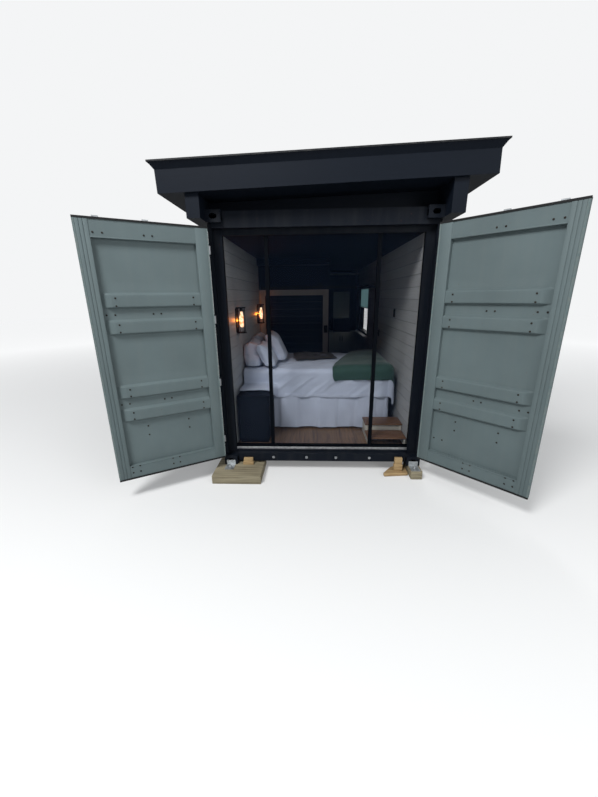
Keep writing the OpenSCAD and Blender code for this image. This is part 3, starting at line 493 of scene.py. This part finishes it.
def duvet_point(u, v):
    a = BED_LOW.x + 0.012 + u * COVER_WIDE
    beside = 1 / (1 + math.exp((a + 0.615) / 0.018))
    b = BED_LOW.y - SIDE_DROP + v * COVER_LONG - 0.19 * beside * max(0, 1 - v / 0.16)
    low = (BED_LOW.x - 1, BED_LOW.y + DUVET_ROLL - 0.026)
    high = (BED_HIGH.x - DUVET_ROLL - 0.005, BED_HIGH.y - DUVET_ROLL + 0.026)
    inner, way, reach, drop = laid(a, b, low, high, DUVET_TOP, DUVET_ROLL)
    corner = abs(way.x * way.y) * 2
    hang = min(1, max(0, drop - 0.03) / 0.22)
    along = a if abs(way.y) > abs(way.x) else b
    slant = along * 4.4 + drop * 5.5
    fold = 0.009 * math.sin(along * 17 + 2.2 * ripple(along * 2.1, 4.0))
    fold += 0.012 * ripple(along * 5.5, drop * 2, 3.1)
    fold += 0.027 * (0.30 - abs(ripple(slant, drop * 1.2, 8.3))) + 0.009 * ripple(slant * 3.1, drop * 3, 2.7)
    reach += hang * (fold * (1 - corner) + 0.045 * corner) - 0.010 * hang
    top = DUVET_TOP - 0.016 - drop
    puff = 0.010 * ripple(a * 2.6, b * 2.6, 9) + 0.005 * ripple(a * 8 + b * 3, b * 5, 2) * (1 - hang)
    crease = 0.011 * max(0, 1 - 5 * abs(ripple(a * 4.2 - b * 6.5, b * 2.0 + a, 5)))
    z = top + (puff - crease) * (1 - hang * 0.6)
    if v < 0.5:
        z -= 0.012 * hang * ripple(a * 1.6, 1.0)
        # over the bedside cabinet the hanging side comes to rest on its top
        resting = CABINET_TOP + COVER_THICK + 0.001 + 0.010 * abs(ripple(a * 14 + drop * 9, drop * 11, 6)) - z
        if resting > -0.03:
            lifted = beside * (resting + 0.03) ** 2 / (resting + 0.045)
            z += lifted
            reach += 0.85 * lifted
    return at(inner.x + way.x * reach, inner.y + way.y * reach, z)


duvet = cloth(200, 180, duvet_point)
modify(duvet, "SOLIDIFY", thickness=COVER_THICK, offset=-1)
modify(duvet, "BEVEL", width=0.004, segments=2, angle_limit=math.radians(60))
finish_piece(duvet, "duvet_cover", "white_linen", smooth=60)
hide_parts("duvet")

# the cover's border: a doubled band 48 mm deep sewn along its three hanging edges
BORDER_DEEP = 0.048
BAND_U, BAND_V = BORDER_DEEP / COVER_WIDE, BORDER_DEEP / COVER_LONG


def border_point(u, v):
    walked = u * 3
    side = min(int(walked), 2)
    step = walked - side
    outer = [(step, 0.0), (1.0, step), (1.0 - step, 1.0)][side]
    inner = [(step * (1 - BAND_U), BAND_V), (1 - BAND_U, BAND_V + step * (1 - 2 * BAND_V)),
             ((1 - step) * (1 - BAND_U), 1 - BAND_V)][side]
    spot = duvet_point(outer[0] + (inner[0] - outer[0]) * v, outer[1] + (inner[1] - outer[1]) * v)
    lift = 0.0055 + 0.003 * math.sin(math.pi * v)
    away = [(0, -1), (1, 0), (0, 1)][side]
    for corner, slanting in ((1, (0.7, -0.7)), (2, (0.7, 0.7))):
        if abs(walked - corner) < 0.015:
            away = slanting
    return spot + Vector((away[0] * lift, away[1] * lift, -0.004 * (1 - v)))


border = cloth(560, 4, border_point)
modify(border, "SOLIDIFY", thickness=0.003, offset=0)
finish_piece(border, "duvet_border", "white_linen", smooth=70)

# the mattress: a deep pad with a rolled edge at top and bottom
mattress = cube((-1.080, 0.806, 0.897), (0.975, 2.204, 1.140))
eased(mattress, 0.05, 4)
for ring in (0.947, 1.090):
    for cut in (ring - 0.004, ring + 0.004):
        shape(mattress, "FACE", anywhere, bpy.ops.mesh.bisect, plane_co=(0, 0, cut), plane_no=(0, 0, 1))
    shape(mattress, "FACE", lambda f: abs(f.center.z - ring) < 0.004 and abs(f.normal.z) < 0.5,
          bpy.ops.mesh.extrude_region_shrink_fatten, TRANSFORM_OT_shrink_fatten={"value": 0.006})
finish_piece(mattress, "mattress_pad", "ticking", slot="white_linen", smooth=60)
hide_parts("mattress")

# the covered base: a plain box frame, with the gathered skirt round it
BASE_TOP = 0.886
base = cube((-1.075, 0.815, 0.360), (0.940, 2.195, BASE_TOP))
finish_piece(eased(base, 0.012), "bed_box", "ticking", slot="white_linen")
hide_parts("bed_base")
foot = drum(0.024, 0.0765, 24)
shape(foot, "FACE", lambda f: f.normal.z < -0.9, bpy.ops.transform.resize, value=(0.8, 0.8, 1))
modify(foot, "BEVEL", width=0.002, segments=2, angle_limit=math.radians(40))
spots = [at(x, y, 0.32175) for x in (-1.02, -0.07, 0.88) for y in (0.88, 2.13)]
feet = copies(foot, [Matrix.Translation(spot) for spot in spots])
finish_piece(joined(feet), "bed_feet", "black_trim")

SKIRT_PATH = [(-1.078, 0.800), (0.952, 0.800), (0.952, 2.210), (-1.078, 2.210)]
SKIRT_RUNS = [(Vector(p), Vector(q)) for p, q in zip(SKIRT_PATH, SKIRT_PATH[1:])]
SKIRT_LONG = sum((q - p).length for p, q in SKIRT_RUNS)
SKIRT_DROP = 0.573


def skirt_point(u, v):
    walked = u * SKIRT_LONG
    for p, q in SKIRT_RUNS:
        step = (q - p).length
        if walked <= step + 1e-6:
            break
        walked -= step
    way = (q - p) / step
    out = Vector((way.y, -way.x))
    spot = p + way * walked
    s = u * SKIRT_LONG
    down = 1 - v
    edge = min(1, min(walked, step - walked) / 0.05)
    pleat = math.sin(s * 19 + 3.0 * ripple(s * 1.3, 2.0)) * 0.011 + 0.018 * ripple(s * 7.0, down * 1.5, 6)
    pleat += 0.012 * (0.3 - abs(ripple(s * 5 + down * 1.6, down * 1.1, 3)))
    box_pleat = 0.014 * math.tanh(5 * math.sin(s * 11.5 + 0.6))
    off = 0.002 + (0.35 + 0.65 * down) * (pleat + box_pleat) * edge + 0.012 * down + 0.010
    spot = spot + out * max(-0.006, off)
    return at(spot.x, spot.y, BASE_TOP - SKIRT_DROP * down + 0.005 * ripple(s * 3, 8) * down)


skirt = cloth(420, 24, skirt_point)
modify(skirt, "SOLIDIFY", thickness=0.002, offset=-1)
finish_piece(skirt, "bed_skirt", "white_linen", smooth=70)


THROW_TOP = DUVET_TOP + 0.018


def throw_point(u, v):
    b = BED_LOW.y - 0.195 + v * (BED_HIGH.y - BED_LOW.y + 0.39)
    near = min(1, max(0, (b - BED_LOW.y) / (BED_HIGH.y - BED_LOW.y)))
    first = 0.165 + 0.41 * near ** 1.2 + 0.012 * ripple(b * 5, 3) + 0.035 * max(0, 1 - v / 0.05) ** 2
    a = first + u * (BED_HIGH.x + 0.33 - first)
    roll = 0.10
    low = (-9, BED_LOW.y + roll - 0.042)
    high = (BED_HIGH.x - roll + 0.016, BED_HIGH.y - roll + 0.042)
    inner, way, reach, drop = laid(a, b, low, high, THROW_TOP, roll)
    corner = abs(way.x * way.y) * 2
    hang = min(1, max(0, drop - 0.06) / 0.2)
    along = a if abs(way.y) > abs(way.x) else b
    fold = 0.014 * ripple(along * 7, drop * 2, 1.5) + 0.008 * math.sin(along * 30 + 2 * ripple(along * 3, 1))
    reach += hang * (fold * (1 - corner) + 0.02 * corner) - 0.004 * hang
    plush = 0.004 * ripple(a * 20, b * 20, 6)
    reach += plush * hang
    rise = 0.026 * (1 - hang) * min(1, u * 4) * (0.7 + ripple(a * 3, b * 3, 4)) + plush * (1 - hang)
    edge = 0.010 * (1 - min(1, u * 18))
    return at(inner.x + way.x * reach, inner.y + way.y * reach, THROW_TOP - drop + rise - edge)


throw = cloth(70, 100, throw_point)
modify(throw, "SOLIDIFY", thickness=0.010, offset=-1)
modify(throw, "BEVEL", width=0.003, segments=2, angle_limit=math.radians(60))
finish_piece(throw, "green_velvet_throw", "green_velvet", smooth=60)
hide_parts("green_throw")


def knit_point(u, v):
    turn = 0.12
    x, y = (u - 0.5) * 0.66, (v - 0.5) * (0.68 - 0.18 * u)
    ring = min(1, 6 * min(u, 1 - u)) * min(1, 6 * min(v, 1 - v))
    wobble = 0.040 * ripple(u * 4, v * 4, 7)
    cx = -0.085 + x * math.cos(turn) - y * math.sin(turn) + wobble
    cy = 1.715 + x * math.sin(turn) + y * math.cos(turn) + wobble
    fold = 0.045 * abs(ripple(u * 4.5, v * 5, 5)) + 0.008 * ripple(u * 9, v * 9, 2)
    nap = 0.004 * ripple(u * 60, v * 60, 1) + 0.013 * max(0, ripple(u * 13, v * 13, 4)) * ring
    return at(cx, cy, DUVET_TOP + 0.006 + ring * (fold + 0.012) + nap)


knit = cloth(90, 96, knit_point)
modify(knit, "SOLIDIFY", thickness=0.006, offset=1)
finish_piece(knit, "brown_boucle_throw", "brown_knit", smooth=70)
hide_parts("knit_throw")


# a pillow's case before it is filled, as a share of its size, and how far filling may move a point
SLACK, MOST_PUFF = 0.94, 0.018


def pillow(name, foot, size, lean, toe, seed):
    """A stuffed pillow on its long edge, its foot flat on the bed.

    foot is its lower corner on the wall side, lean how far it leans back in degrees, and toe how far its foot
    spreads into the room.
    """
    thick, long, tall = size
    middle = (foot[0] + thick / 2, foot[1] + long / 2, foot[2] + tall / 2)
    half = [side * SLACK / 2 for side in size]
    piece = cube([m - h for m, h in zip(middle, half)], [m + h for m, h in zip(middle, half)])
    centre = at(*middle)
    shape(piece, "FACE", anywhere, bpy.ops.mesh.subdivide, number_cuts=13)
    for corner in piece.data.vertices:
        p = corner.co - centre
        y, z = min(1, abs(p.y) / half[1]), p.z / half[2]
        up, down = min(1, max(0, z)), min(1, max(0, -z))
        rim = math.sqrt(max(0, (1 - y ** 5) * (1 - up ** 5) * (1 - 0.3 * down ** 6)))
        p.x *= 0.14 + 0.80 * rim
        p.y *= 1 - 0.05 * (1 - z * z) * y
        p.z *= 1 - 0.05 * (1 - y * y) * up
        corner.co = centre + p
    modify(piece, "REMESH", mode="VOXEL", voxel_size=0.010)
    only(piece)
    before = [v.co.copy() for v in piece.data.vertices]
    puff = piece.modifiers.new("puff", "CLOTH")
    puff.settings.use_pressure = True
    puff.settings.uniform_pressure_force = 4
    puff.settings.quality = 5
    puff.settings.effector_weights.gravity = 0
    for step in range(1, 21):
        scene.frame_set(step)
    settled = piece.evaluated_get(bpy.context.evaluated_depsgraph_get()).to_mesh()
    after = [v.co.copy() for v in settled.vertices]
    piece.modifiers.remove(puff)
    scene.frame_set(1)
    for corner, start, end in zip(piece.data.vertices, before, after):
        move = end - start
        corner.co = start + move.normalized() * min(move.length, MOST_PUFF)
    floor_z = at(*foot).z
    slope = math.tan(math.radians(lean))
    for corner in piece.data.vertices:
        p = corner.co - centre
        y, z = abs(p.y) / (long / 2), p.z / (tall / 2)
        rim = max(y, z) ** 4
        crease = ripple(p.y * 16 + seed, p.z * 16, seed) * rim
        crease += 0.9 * ripple(p.y * 5, p.z * 7 + seed, seed * 2)
        fan = ripple(math.atan2(p.z - tall / 2, long / 2 - abs(p.y)) * 5 + seed, seed) * max(0, y + z - 0.9)
        corner.co.x += 0.007 * crease + 0.010 * fan
        height = min(1, max(0, (corner.co.z - floor_z) / tall))
        if p.x > 0:
            corner.co.x += toe * (1 - height) ** 1.3
        corner.co.x -= slope * height * tall
        corner.co.z = max(corner.co.z, floor_z + 0.004 + 0.004 * ripple(p.x * 9, p.y * 6, seed))
    piece.data.update()
    modify(piece, "SUBSURF", levels=1, render_levels=1)
    finish_piece(piece, name, "white_linen", smooth=0)
    bpy.ops.object.shade_smooth()
    return piece


pillows = [
    pillow("pillow_near_wall", (-1.086, 0.795, 1.186), (0.215, 0.620, 0.362), 1, 0.06, 1.0),
    pillow("pillow_far_wall", (-1.086, 1.465, 1.186), (0.185, 0.620, 0.395), 1, 0.06, 2.0),
    pillow("pillow_near_front", (-0.780, 0.730, 1.188), (0.155, 0.550, 0.340), 24, 0.03, 3.0),
    pillow("pillow_middle_front", (-0.700, 1.170, 1.188), (0.190, 0.600, 0.450), 21, 0.03, 4.0),
]
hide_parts("pillows")


# the cargo leaves: u runs from the hinge pin along the leaf, v through it towards its inner face
LEAVES = {"left": (-1.206, math.radians(-148), 1), "right": (1.206, math.radians(133), -1)}
INNER_FACE, PANEL_FACE, RIB_FACE = 0.095, 0.055, 0.091
LEAF_FOOT, LEAF_TOP = 0.265, 2.809


def leaf_frame_of(side):
    pin, turned, way = LEAVES[side]
    return Matrix.Translation(at(pin, 0.020, 0)) @ Matrix.Rotation(turned, 4, "Z"), way


def on_leaf(side, low, high, edge=0.0015):
    """An eased bar on a leaf, between two corners in u, v, z."""
    placed, way = leaf_frame_of(side)
    size = [h - l for l, h in zip(low, high)]
    u, v, z = [(h + l) / 2 for l, h in zip(low, high)]
    piece = eased(block((way * u, v, z), size), edge)
    piece.data.transform(placed)
    return piece


# the pressed panel: its ribs run out in a rounded slope towards the free stile
PANEL_U = [0.161, 0.30, 0.45, 0.60, 0.75, 0.88, 0.95] + [0.985 + 0.007 * step for step in range(15)]
RIB_CENTRES = (0.9641, 1.2141, 1.8650, 2.1150)
PANEL_Z = sorted([0.400, 0.60, 0.80, 1.40, 1.54, 1.68, 2.30, 2.48, 2.660]
                 + [c + s * off for c in RIB_CENTRES for s in (-1, 1)
                    for off in (0.010, 0.040, 0.053, 0.057, 0.061, 0.066, 0.071, 0.075, 0.080)])
RIB_HALF, RIB_RISE, RIB_SIDE, RIB_RUN_OUT = 0.076, 0.036, 0.020, 0.080


def pressed_panel(side):
    placed, way = leaf_frame_of(side)

    def place(a, b):
        u, z = PANEL_U[round(a * (len(PANEL_U) - 1))], PANEL_Z[round(b * (len(PANEL_Z) - 1))]
        rise = 0.0
        for centre in RIB_CENTRES:
            across = min(1, max(0, (RIB_HALF - abs(z - centre)) / RIB_SIDE))
            along = min(1, max(0, (PANEL_U[-1] - 0.004 - u) / RIB_RUN_OUT))
            t = max(0, 1 - math.hypot(1 - across, 1 - along))
            rise = max(rise, 0.75 * t + 0.25 * t * t * (3 - 2 * t))
        return placed @ Vector((way * u, PANEL_FACE + RIB_RISE * rise, z))

    piece = cloth(len(PANEL_U) - 1, len(PANEL_Z) - 1, place)
    if way > 0:
        shape(piece, "FACE", anywhere, bpy.ops.mesh.flip_normals)
    modify(piece, "SOLIDIFY", thickness=0.003, offset=-1)
    finish_piece(piece, side + "_pressed_panel", "leaf_paint", side + "_leaf", smooth=40)
    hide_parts(side + "_leaf_panel")


def bolt_head():
    """A bolt head with a rounded rim on its washer, standing on the origin."""
    piece = drum(0.0085, 0.003, 20)
    piece.data.transform(moved(0, 0, 0.0015))
    stepped(piece, (0, 0, 1), 0.0025, 0.003, at_middle)
    shape(piece, "FACE", lambda f: f.normal.z > 0.9 and f.center.z > 0.005,
          bpy.ops.mesh.bevel, offset=0.0015, segments=2)
    return piece


def leaf_bolts(side):
    """Where the lock rods' guides and the cam keepers were bolted on, measured in the photograph."""
    rows = (2.140, 2.068, 1.891, 1.820, 1.242, 1.171, 0.992, 0.922)
    spots = [(u, RIB_FACE, z) for z in rows for u in (0.237, 0.964)]
    for rod in (0.604, 1.022):
        for u in (rod - 0.037, rod + 0.037):
            spots += [(u, PANEL_FACE, z) for z in (1.985, 1.085)]
            spots += [(u, INNER_FACE, z) for z in (2.703, 0.388, 0.321)]
    spots += [(u, PANEL_FACE, z) for u in (0.413, 0.843) for z in (0.810, 0.709)]
    if side == "right":
        spots += [(u, PANEL_FACE, 0.556) for u in (0.193, 0.289)]
    placed, way = leaf_frame_of(side)
    outward = Matrix.Rotation(math.radians(-90), 4, "X")
    heads = copies(bolt_head(), [placed @ moved(way * u, v, z) @ outward for u, v, z in spots])
    finish_piece(joined(heads), side + "_leaf_bolts", "rusty_bolt", side + "_leaf", "rod_zinc")


for side in LEAVES:
    body = side + "_leaf"
    pressed_panel(side)
    skins = [on_leaf(side, (u0, INNER_FACE - 0.001, LEAF_FOOT), (u1, INNER_FACE + proud, LEAF_TOP))
             for u0, u1, proud in ((0.051, 0.160, 0.004), (1.084, 1.120, 0.0045), (1.124, 1.150, 0.0045),
                                   (1.154, 1.183, 0.0045))]
    finish_piece(joined(skins), side + "_stile_cover", "leaf_paint", body)
    lips = [on_leaf(side, (0.161, INNER_FACE - 0.002, z), (1.083, INNER_FACE + 0.003, z + 0.012), 0.002)
            for z in (0.389, 2.659)]
    finish_piece(joined(lips), side + "_rail_lips", "leaf_paint", body)
    leaf_bolts(side)


def nut(radius, depth, shank):
    """A hexagon nut about the origin with the end of its bolt standing out of its upper face."""
    piece = drum(radius, depth, 6)
    stepped(piece, (0, 0, 1), radius * 0.3, shank, at_middle)
    modify(piece, "BEVEL", width=0.0011, segments=2, angle_limit=math.radians(30))
    return piece


# bright bolts that held the lock rods' keepers, along the sill
towards_viewer = Matrix.Rotation(math.radians(90), 4, "X")
spots = [at(x, 0.032, 0.192) for x in (-0.602, -0.184, 0.184, 0.602)]
keepers = copies(nut(0.019, 0.012, 0.008), [Matrix.Translation(spot) @ towards_viewer for spot in spots])
finish_piece(joined(keepers), "keeper_bolts", "rod_zinc", slot="galvanised")

# hold-down bolts through the brackets' holes
spots = [at(x, y, 0.1190) for x in (-1.138, 1.138) for y in (-0.080, 6.138)]
anchors = copies(nut(0.015, 0.011, 0.014), [Matrix.Translation(spot) for spot in spots])
finish_piece(joined(anchors), "anchor_bolts", "galvanised")

TO_FRONT = (0, -1, 0)
FLOOR_TOP = 0.2835

# the sliding door's field: horizontal matched boards inside its frame, and a pull plate
fields = copies(board((-0.988, 2.6125, 0.395), (0.078, 2.6258, 0.5205), 0.004),
                [moved(0, 0, 0.1268 * step) for step in range(14)])
finish_piece(joined(fields), "sliding_door_boards", "dark_board_x", "sliding_door", "dark_board")
plate = cube((0.097, 2.6040, 1.484), (0.167, 2.6112, 1.616))
stepped(plate, TO_FRONT, 0.010, -0.005, anywhere)
finish_piece(eased(plate, 0.001), "door_flush_pull", "black_trim", "sliding_door")

# plain switch plates on the right-hand wall
plates = []
for y, z in ((1.350, 1.890), (2.460, 1.485)):
    switch = cube((1.0915, y - 0.036, z - 0.058), (1.0998, y + 0.036, z + 0.058))
    stepped(switch, (-1, 0, 0), 0.018, 0.004, anywhere)
    plates.append(eased(switch, 0.0015))
finish_piece(joined(plates), "switch_plates", "black_trim")

# bedside cabinet: charcoal carcass on a plinth, two drawers that face the room, and a plain top
carcass = cube((-1.072, 0.260, 0.330), (-0.672, 0.656, 0.911))
stepped(carcass, (1, 0, 0), 0.018, -0.016, anywhere)
stepped(carcass, TO_FRONT, 0.040, -0.004, anywhere)
eased(carcass, 0.0015)
plinth = board((-1.060, 0.276, FLOOR_TOP), (-0.690, 0.640, 0.330))
drawers = [board((-0.686, 0.281, z), (-0.668, 0.635, z + 0.266), 0.002) for z in (0.351, 0.623)]
finish_piece(joined([carcass, plinth] + drawers), "bedside_carcass", "cabinet_wood")
pulls = [board((-0.6685, 0.398, z), (-0.656, 0.518, z + 0.012), 0.003) for z in (0.478, 0.750)]
finish_piece(joined(pulls), "drawer_pulls", "black_trim")
top = board((-1.072, 0.258, 0.9115), (-0.654, 0.658, CABINET_TOP), 0.005, 3)
finish_piece(top, "bedside_top", "cabinet_wood")
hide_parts("bedside_cabinet")

# step stool: oiled treads with rounded noses on painted sides
STOOL_X0, STOOL_X1, STOOL_Y0 = 0.605, 1.085, 0.216
sides = []
for x in (STOOL_X0, STOOL_X1 - 0.022):
    sides.append(board((x, STOOL_Y0 + 0.002, FLOOR_TOP), (x + 0.022, STOOL_Y0 + 0.245, 0.366)))
    sides.append(board((x, STOOL_Y0 + 0.243, FLOOR_TOP), (x + 0.022, STOOL_Y0 + 0.498, 0.465)))
riser = board((STOOL_X0 + 0.022, STOOL_Y0 + 0.252, 0.391), (STOOL_X1 - 0.022, STOOL_Y0 + 0.262, 0.465))
stool = finish_piece(joined(sides + [riser]), "stool_sides", "white_board_x", slot="white_board")
treads = [board((STOOL_X0 - 0.007, STOOL_Y0 + y0, z0), (STOOL_X1 + 0.007, STOOL_Y0 + y1, z1), 0.007, 3)
          for y0, y1, z0, z1 in ((-0.011, 0.251, 0.367, 0.390), (0.229, 0.509, 0.466, 0.489))]
finish_piece(joined(treads), "stool_treads", "stool_wood")
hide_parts("step_stool")

# window: a roller blind half down, with its tube and its bottom bar
blind_low, blind_high = (Vector(corner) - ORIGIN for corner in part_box("window_blind"))


def blind_point(u, v):
    y = blind_low.y + 0.006 + u * (blind_high.y - blind_low.y - 0.012)
    z = blind_low.z + v * (blind_high.z - blind_low.z - 0.03)
    return at(1.1320 + 0.0016 * ripple(y * 3, z * 1.2, 2) * (1.2 - v), y, z)


blind = cloth(48, 18, blind_point)
modify(blind, "SOLIDIFY", thickness=0.0008, offset=0)
finish_piece(blind, "roller_blind", "blind_fabric", smooth=70)
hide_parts("window_blind")
bar_low = (1.1285, blind_low.y + 0.004, blind_low.z - 0.014)
bar_high = (1.1355, blind_high.y - 0.004, blind_low.z + 0.006)
finish_piece(board(bar_low, bar_high, 0.003), "blind_bottom_bar", "white_board")
bpy.ops.object.select_all(action="DESELECT")
tube_middle = at(1.132, (blind_low.y + blind_high.y) / 2, blind_high.z - 0.022)
bpy.ops.mesh.primitive_cylinder_add(vertices=32, radius=0.016, depth=blind_high.y - blind_low.y,
                                    location=tube_middle, rotation=(math.radians(90), 0, 0))
tube = bpy.context.active_object
bpy.ops.object.transform_apply(location=True, rotation=True, scale=True)
for end in (-1, 1):
    stepped(tube, (0, end, 0), 0.006, 0.006, anywhere)
finish_piece(tube, "blind_tube", "white_board")

# kitchen end: doors on the unit and on the wall cupboard, a splashback panel and a cornice strip
fronts = []
for x0, x1, y, z0, z1 in ((0.206, 0.647, 5.358, 0.370, 1.176), (0.652, 1.094, 5.358, 0.370, 1.176),
                          (0.204, 0.523, 5.418, 2.261, 2.653), (0.527, 0.843, 5.418, 2.261, 2.653)):
    front = cube((x0, y - 0.018, z0), (x1, y, z1))
    stepped(front, TO_FRONT, 0.055, -0.006, anywhere)
    fronts.append(eased(front, 0.0012))
finish_piece(joined(fronts[:2]), "unit_doors", "unit_paint")
finish_piece(joined(fronts[2:]), "cupboard_doors", "dark_board")
knobs = [board((x, 5.326, 0.98), (x + 0.014, 5.340, 1.11), 0.003) for x in (0.612, 0.674)]
finish_piece(joined(knobs), "unit_pulls", "black_trim")
splash = board((0.455, 5.845, 1.560), (0.900, 5.8575, 2.250), 0.002)
finish_piece(splash, "splashback_panel", "unit_paint")
cornice = board((0.202, 5.396, 2.660), (1.099, 5.420, 2.690), 0.006, 3)
finish_piece(cornice, "kitchen_cornice", "unit_paint")

# the castings keep their solids' form, with the edges rounded
castings = nodes["corner_castings"].copy()
castings.data = castings.data.copy()
scene.collection.objects.link(castings)
only(castings)
bpy.ops.object.mode_set(mode="EDIT")
bpy.ops.mesh.select_all(action="SELECT")
bpy.ops.mesh.remove_doubles(threshold=0.0001)
bpy.ops.mesh.dissolve_limited(angle_limit=math.radians(1))
bpy.ops.object.mode_set(mode="OBJECT")
modify(castings, "BEVEL", width=0.006, segments=3, limit_method="ANGLE", angle_limit=math.radians(20),
       use_clamp_overlap=True)
finish_piece(castings, "cast_corner_fittings", "black_steel", slot=slot_of["corner_castings"], smooth=50)
modify(castings, "WEIGHTED_NORMAL", keep_sharp=True)
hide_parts("corner_castings")

# footings: a wide block under three corners, a narrower one and a loose board where the photograph shows them
FOOTING_TOP = 0.105
front_y, back_y = (-0.300, 0.220), (5.838, 6.358)
blocks = [board((x0, y0, 0.0), (x1, y1, FOOTING_TOP), 0.005)
          for x0, x1, (y0, y1) in ((-1.309, -0.724, front_y), (-1.309, -0.724, back_y),
                                   (0.724, 1.309, back_y), (1.080, 1.215, (-0.150, 0.220)))]
blocks += [board((x, y, FOOTING_TOP), (x + 0.120, y + 0.070, 0.1225), 0.002)
           for x, y in ((-0.967, 0.060), (-0.967, 5.928), (0.847, 5.928))]
footing = finish_piece(joined(blocks), "timber_footings", "block")
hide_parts("footings")
bpy.ops.mesh.primitive_circle_add(vertices=6, fill_type="NGON")
scrap = bpy.context.active_object
outline = ((0.776, -0.091), (1.070, -0.060), (1.074, 0.171), (1.025, 0.203), (0.877, 0.089), (0.770, -0.051))
for corner, (x, y) in zip(scrap.data.vertices, outline):
    corner.co = at(x, y, 0.0)
modify(scrap, "SOLIDIFY", thickness=0.034, offset=1)
modify(scrap, "BEVEL", width=0.006, segments=3, angle_limit=math.radians(30))
shims = [board(low, high, 0.003) for low, high in (
    ((-0.985, -0.012, 0.1055), (-0.855, 0.034, 0.150)), ((-0.975, -0.008, 0.1505), (-0.862, 0.036, 0.192)),
    ((0.905, -0.012, 0.0345), (1.010, 0.034, 0.120)), ((0.912, -0.006, 0.1205), (1.004, 0.036, 0.208)),
    ((0.972, 0.040, 0.0345), (1.020, 0.110, 0.1325)))]
finish_piece(joined([scrap] + shims), "packing_shims", "raw_timber")


def light(name, kind, place, aim, power, size, colour="#ffffff"):
    data = bpy.data.lights.new(name, kind)
    data.energy = power
    data.color = linear(colour)[:3]
    if kind == "AREA":
        data.shape = "DISK"
        data.size = size
    else:
        data.shadow_soft_size = size
    lamp = bpy.data.objects.new(name, data)
    scene.collection.objects.link(lamp)
    lamp.location = ORIGIN + Vector(place)
    lamp.rotation_euler = (ORIGIN + Vector(aim) - lamp.location).to_track_quat("-Z", "Y").to_euler()


light("key_softbox", "AREA", (-3.4, -5.6, 8.4), (0, 0, 1.2), 900, 3.0)
light("fill_softbox", "AREA", (6.0, -7.0, 4.5), (0, 0, 1.2), 260, 4.5)
light("rim_softbox", "AREA", (2.0, 13.0, 7.0), (0, 3.0, 2.0), 500, 5.0)
for lamp_y in (0.640, 2.360):
    light("lamp_glow", "POINT", (-1.074, lamp_y, 1.850), (0, 0, 0), 2.4, 0.006, "#ff8a2c")

world = bpy.data.worlds.new("studio")
world.use_nodes = True
scene.world = world
sky = world.node_tree
seen = add(sky, "LightPath")
backdrop = add(sky, "Background", {"Color": "#f4f5f6", "Strength": 1.0})
ambient = add(sky, "Background", {"Color": "#eef1f5", "Strength": 0.40})
# reflections see a dimmer sky, which keeps the glass and the dark boards free of sparkle
MIRRORED_SHARE = 0.3
glossy = seen.outputs["Is Glossy Ray"]
mirrored = add(sky, "Math", {0: glossy, 1: MIRRORED_SHARE}, operation="MULTIPLY").outputs[0]
rays = add(sky, "Math", {0: seen.outputs["Is Camera Ray"], 1: mirrored}, operation="MAXIMUM")
both = add(sky, "MixShader", {0: rays.outputs[0], 1: ambient.outputs[0], 2: backdrop.outputs[0]})
sky.links.new(both.outputs[0], sky.nodes["World Output"].inputs["Surface"])

bpy.ops.mesh.primitive_plane_add(size=60, location=(0, 0, -0.002))
floor = bpy.context.active_object
floor.name = "studio_floor"
# paper-pale to the eye: what the lamps leave dark further out is lifted towards the backdrop
ground, tree, spot = material("pale_floor")
watched = add(tree, "LightPath").outputs["Is Camera Ray"]
away = add(tree, "VectorMath", {0: spot}, operation="LENGTH").outputs["Value"]
reach = {"Value": away, "From Min": 3.5, "From Max": 15.0, "To Min": 0.17, "To Max": 0.67}
lift = add(tree, "MapRange", reach).outputs["Result"]
lifted = add(tree, "Math", {0: watched, 1: lift}, operation="MULTIPLY").outputs[0]
paper = {"Roughness": 0.9, "Emission Color": "#ffffff", "Emission Strength": lifted}
floor.data.materials.append(finished(ground, "#cbcccc", [], paper))

# camera: solved from the door opening, the leaves and the castings in the photograph
lens = bpy.data.cameras.new("viewpoint")
lens.sensor_width = 36
lens.lens = 15.186
lens.clip_start = 0.05
camera = bpy.data.objects.new("viewpoint", lens)
scene.collection.objects.link(camera)
right = Vector((0.99914, 0.03993, -0.01102))
up = Vector((-0.00103, 0.28991, 0.95705))
ahead = Vector((-0.04142, 0.95622, -0.28970))
turn = Matrix((right, up, -ahead)).transposed().to_4x4()
camera.matrix_world = Matrix.Translation(ORIGIN + Vector((-0.104, -3.817, 2.135))) @ turn
scene.camera = camera
scene.view_settings.view_transform = "Standard"
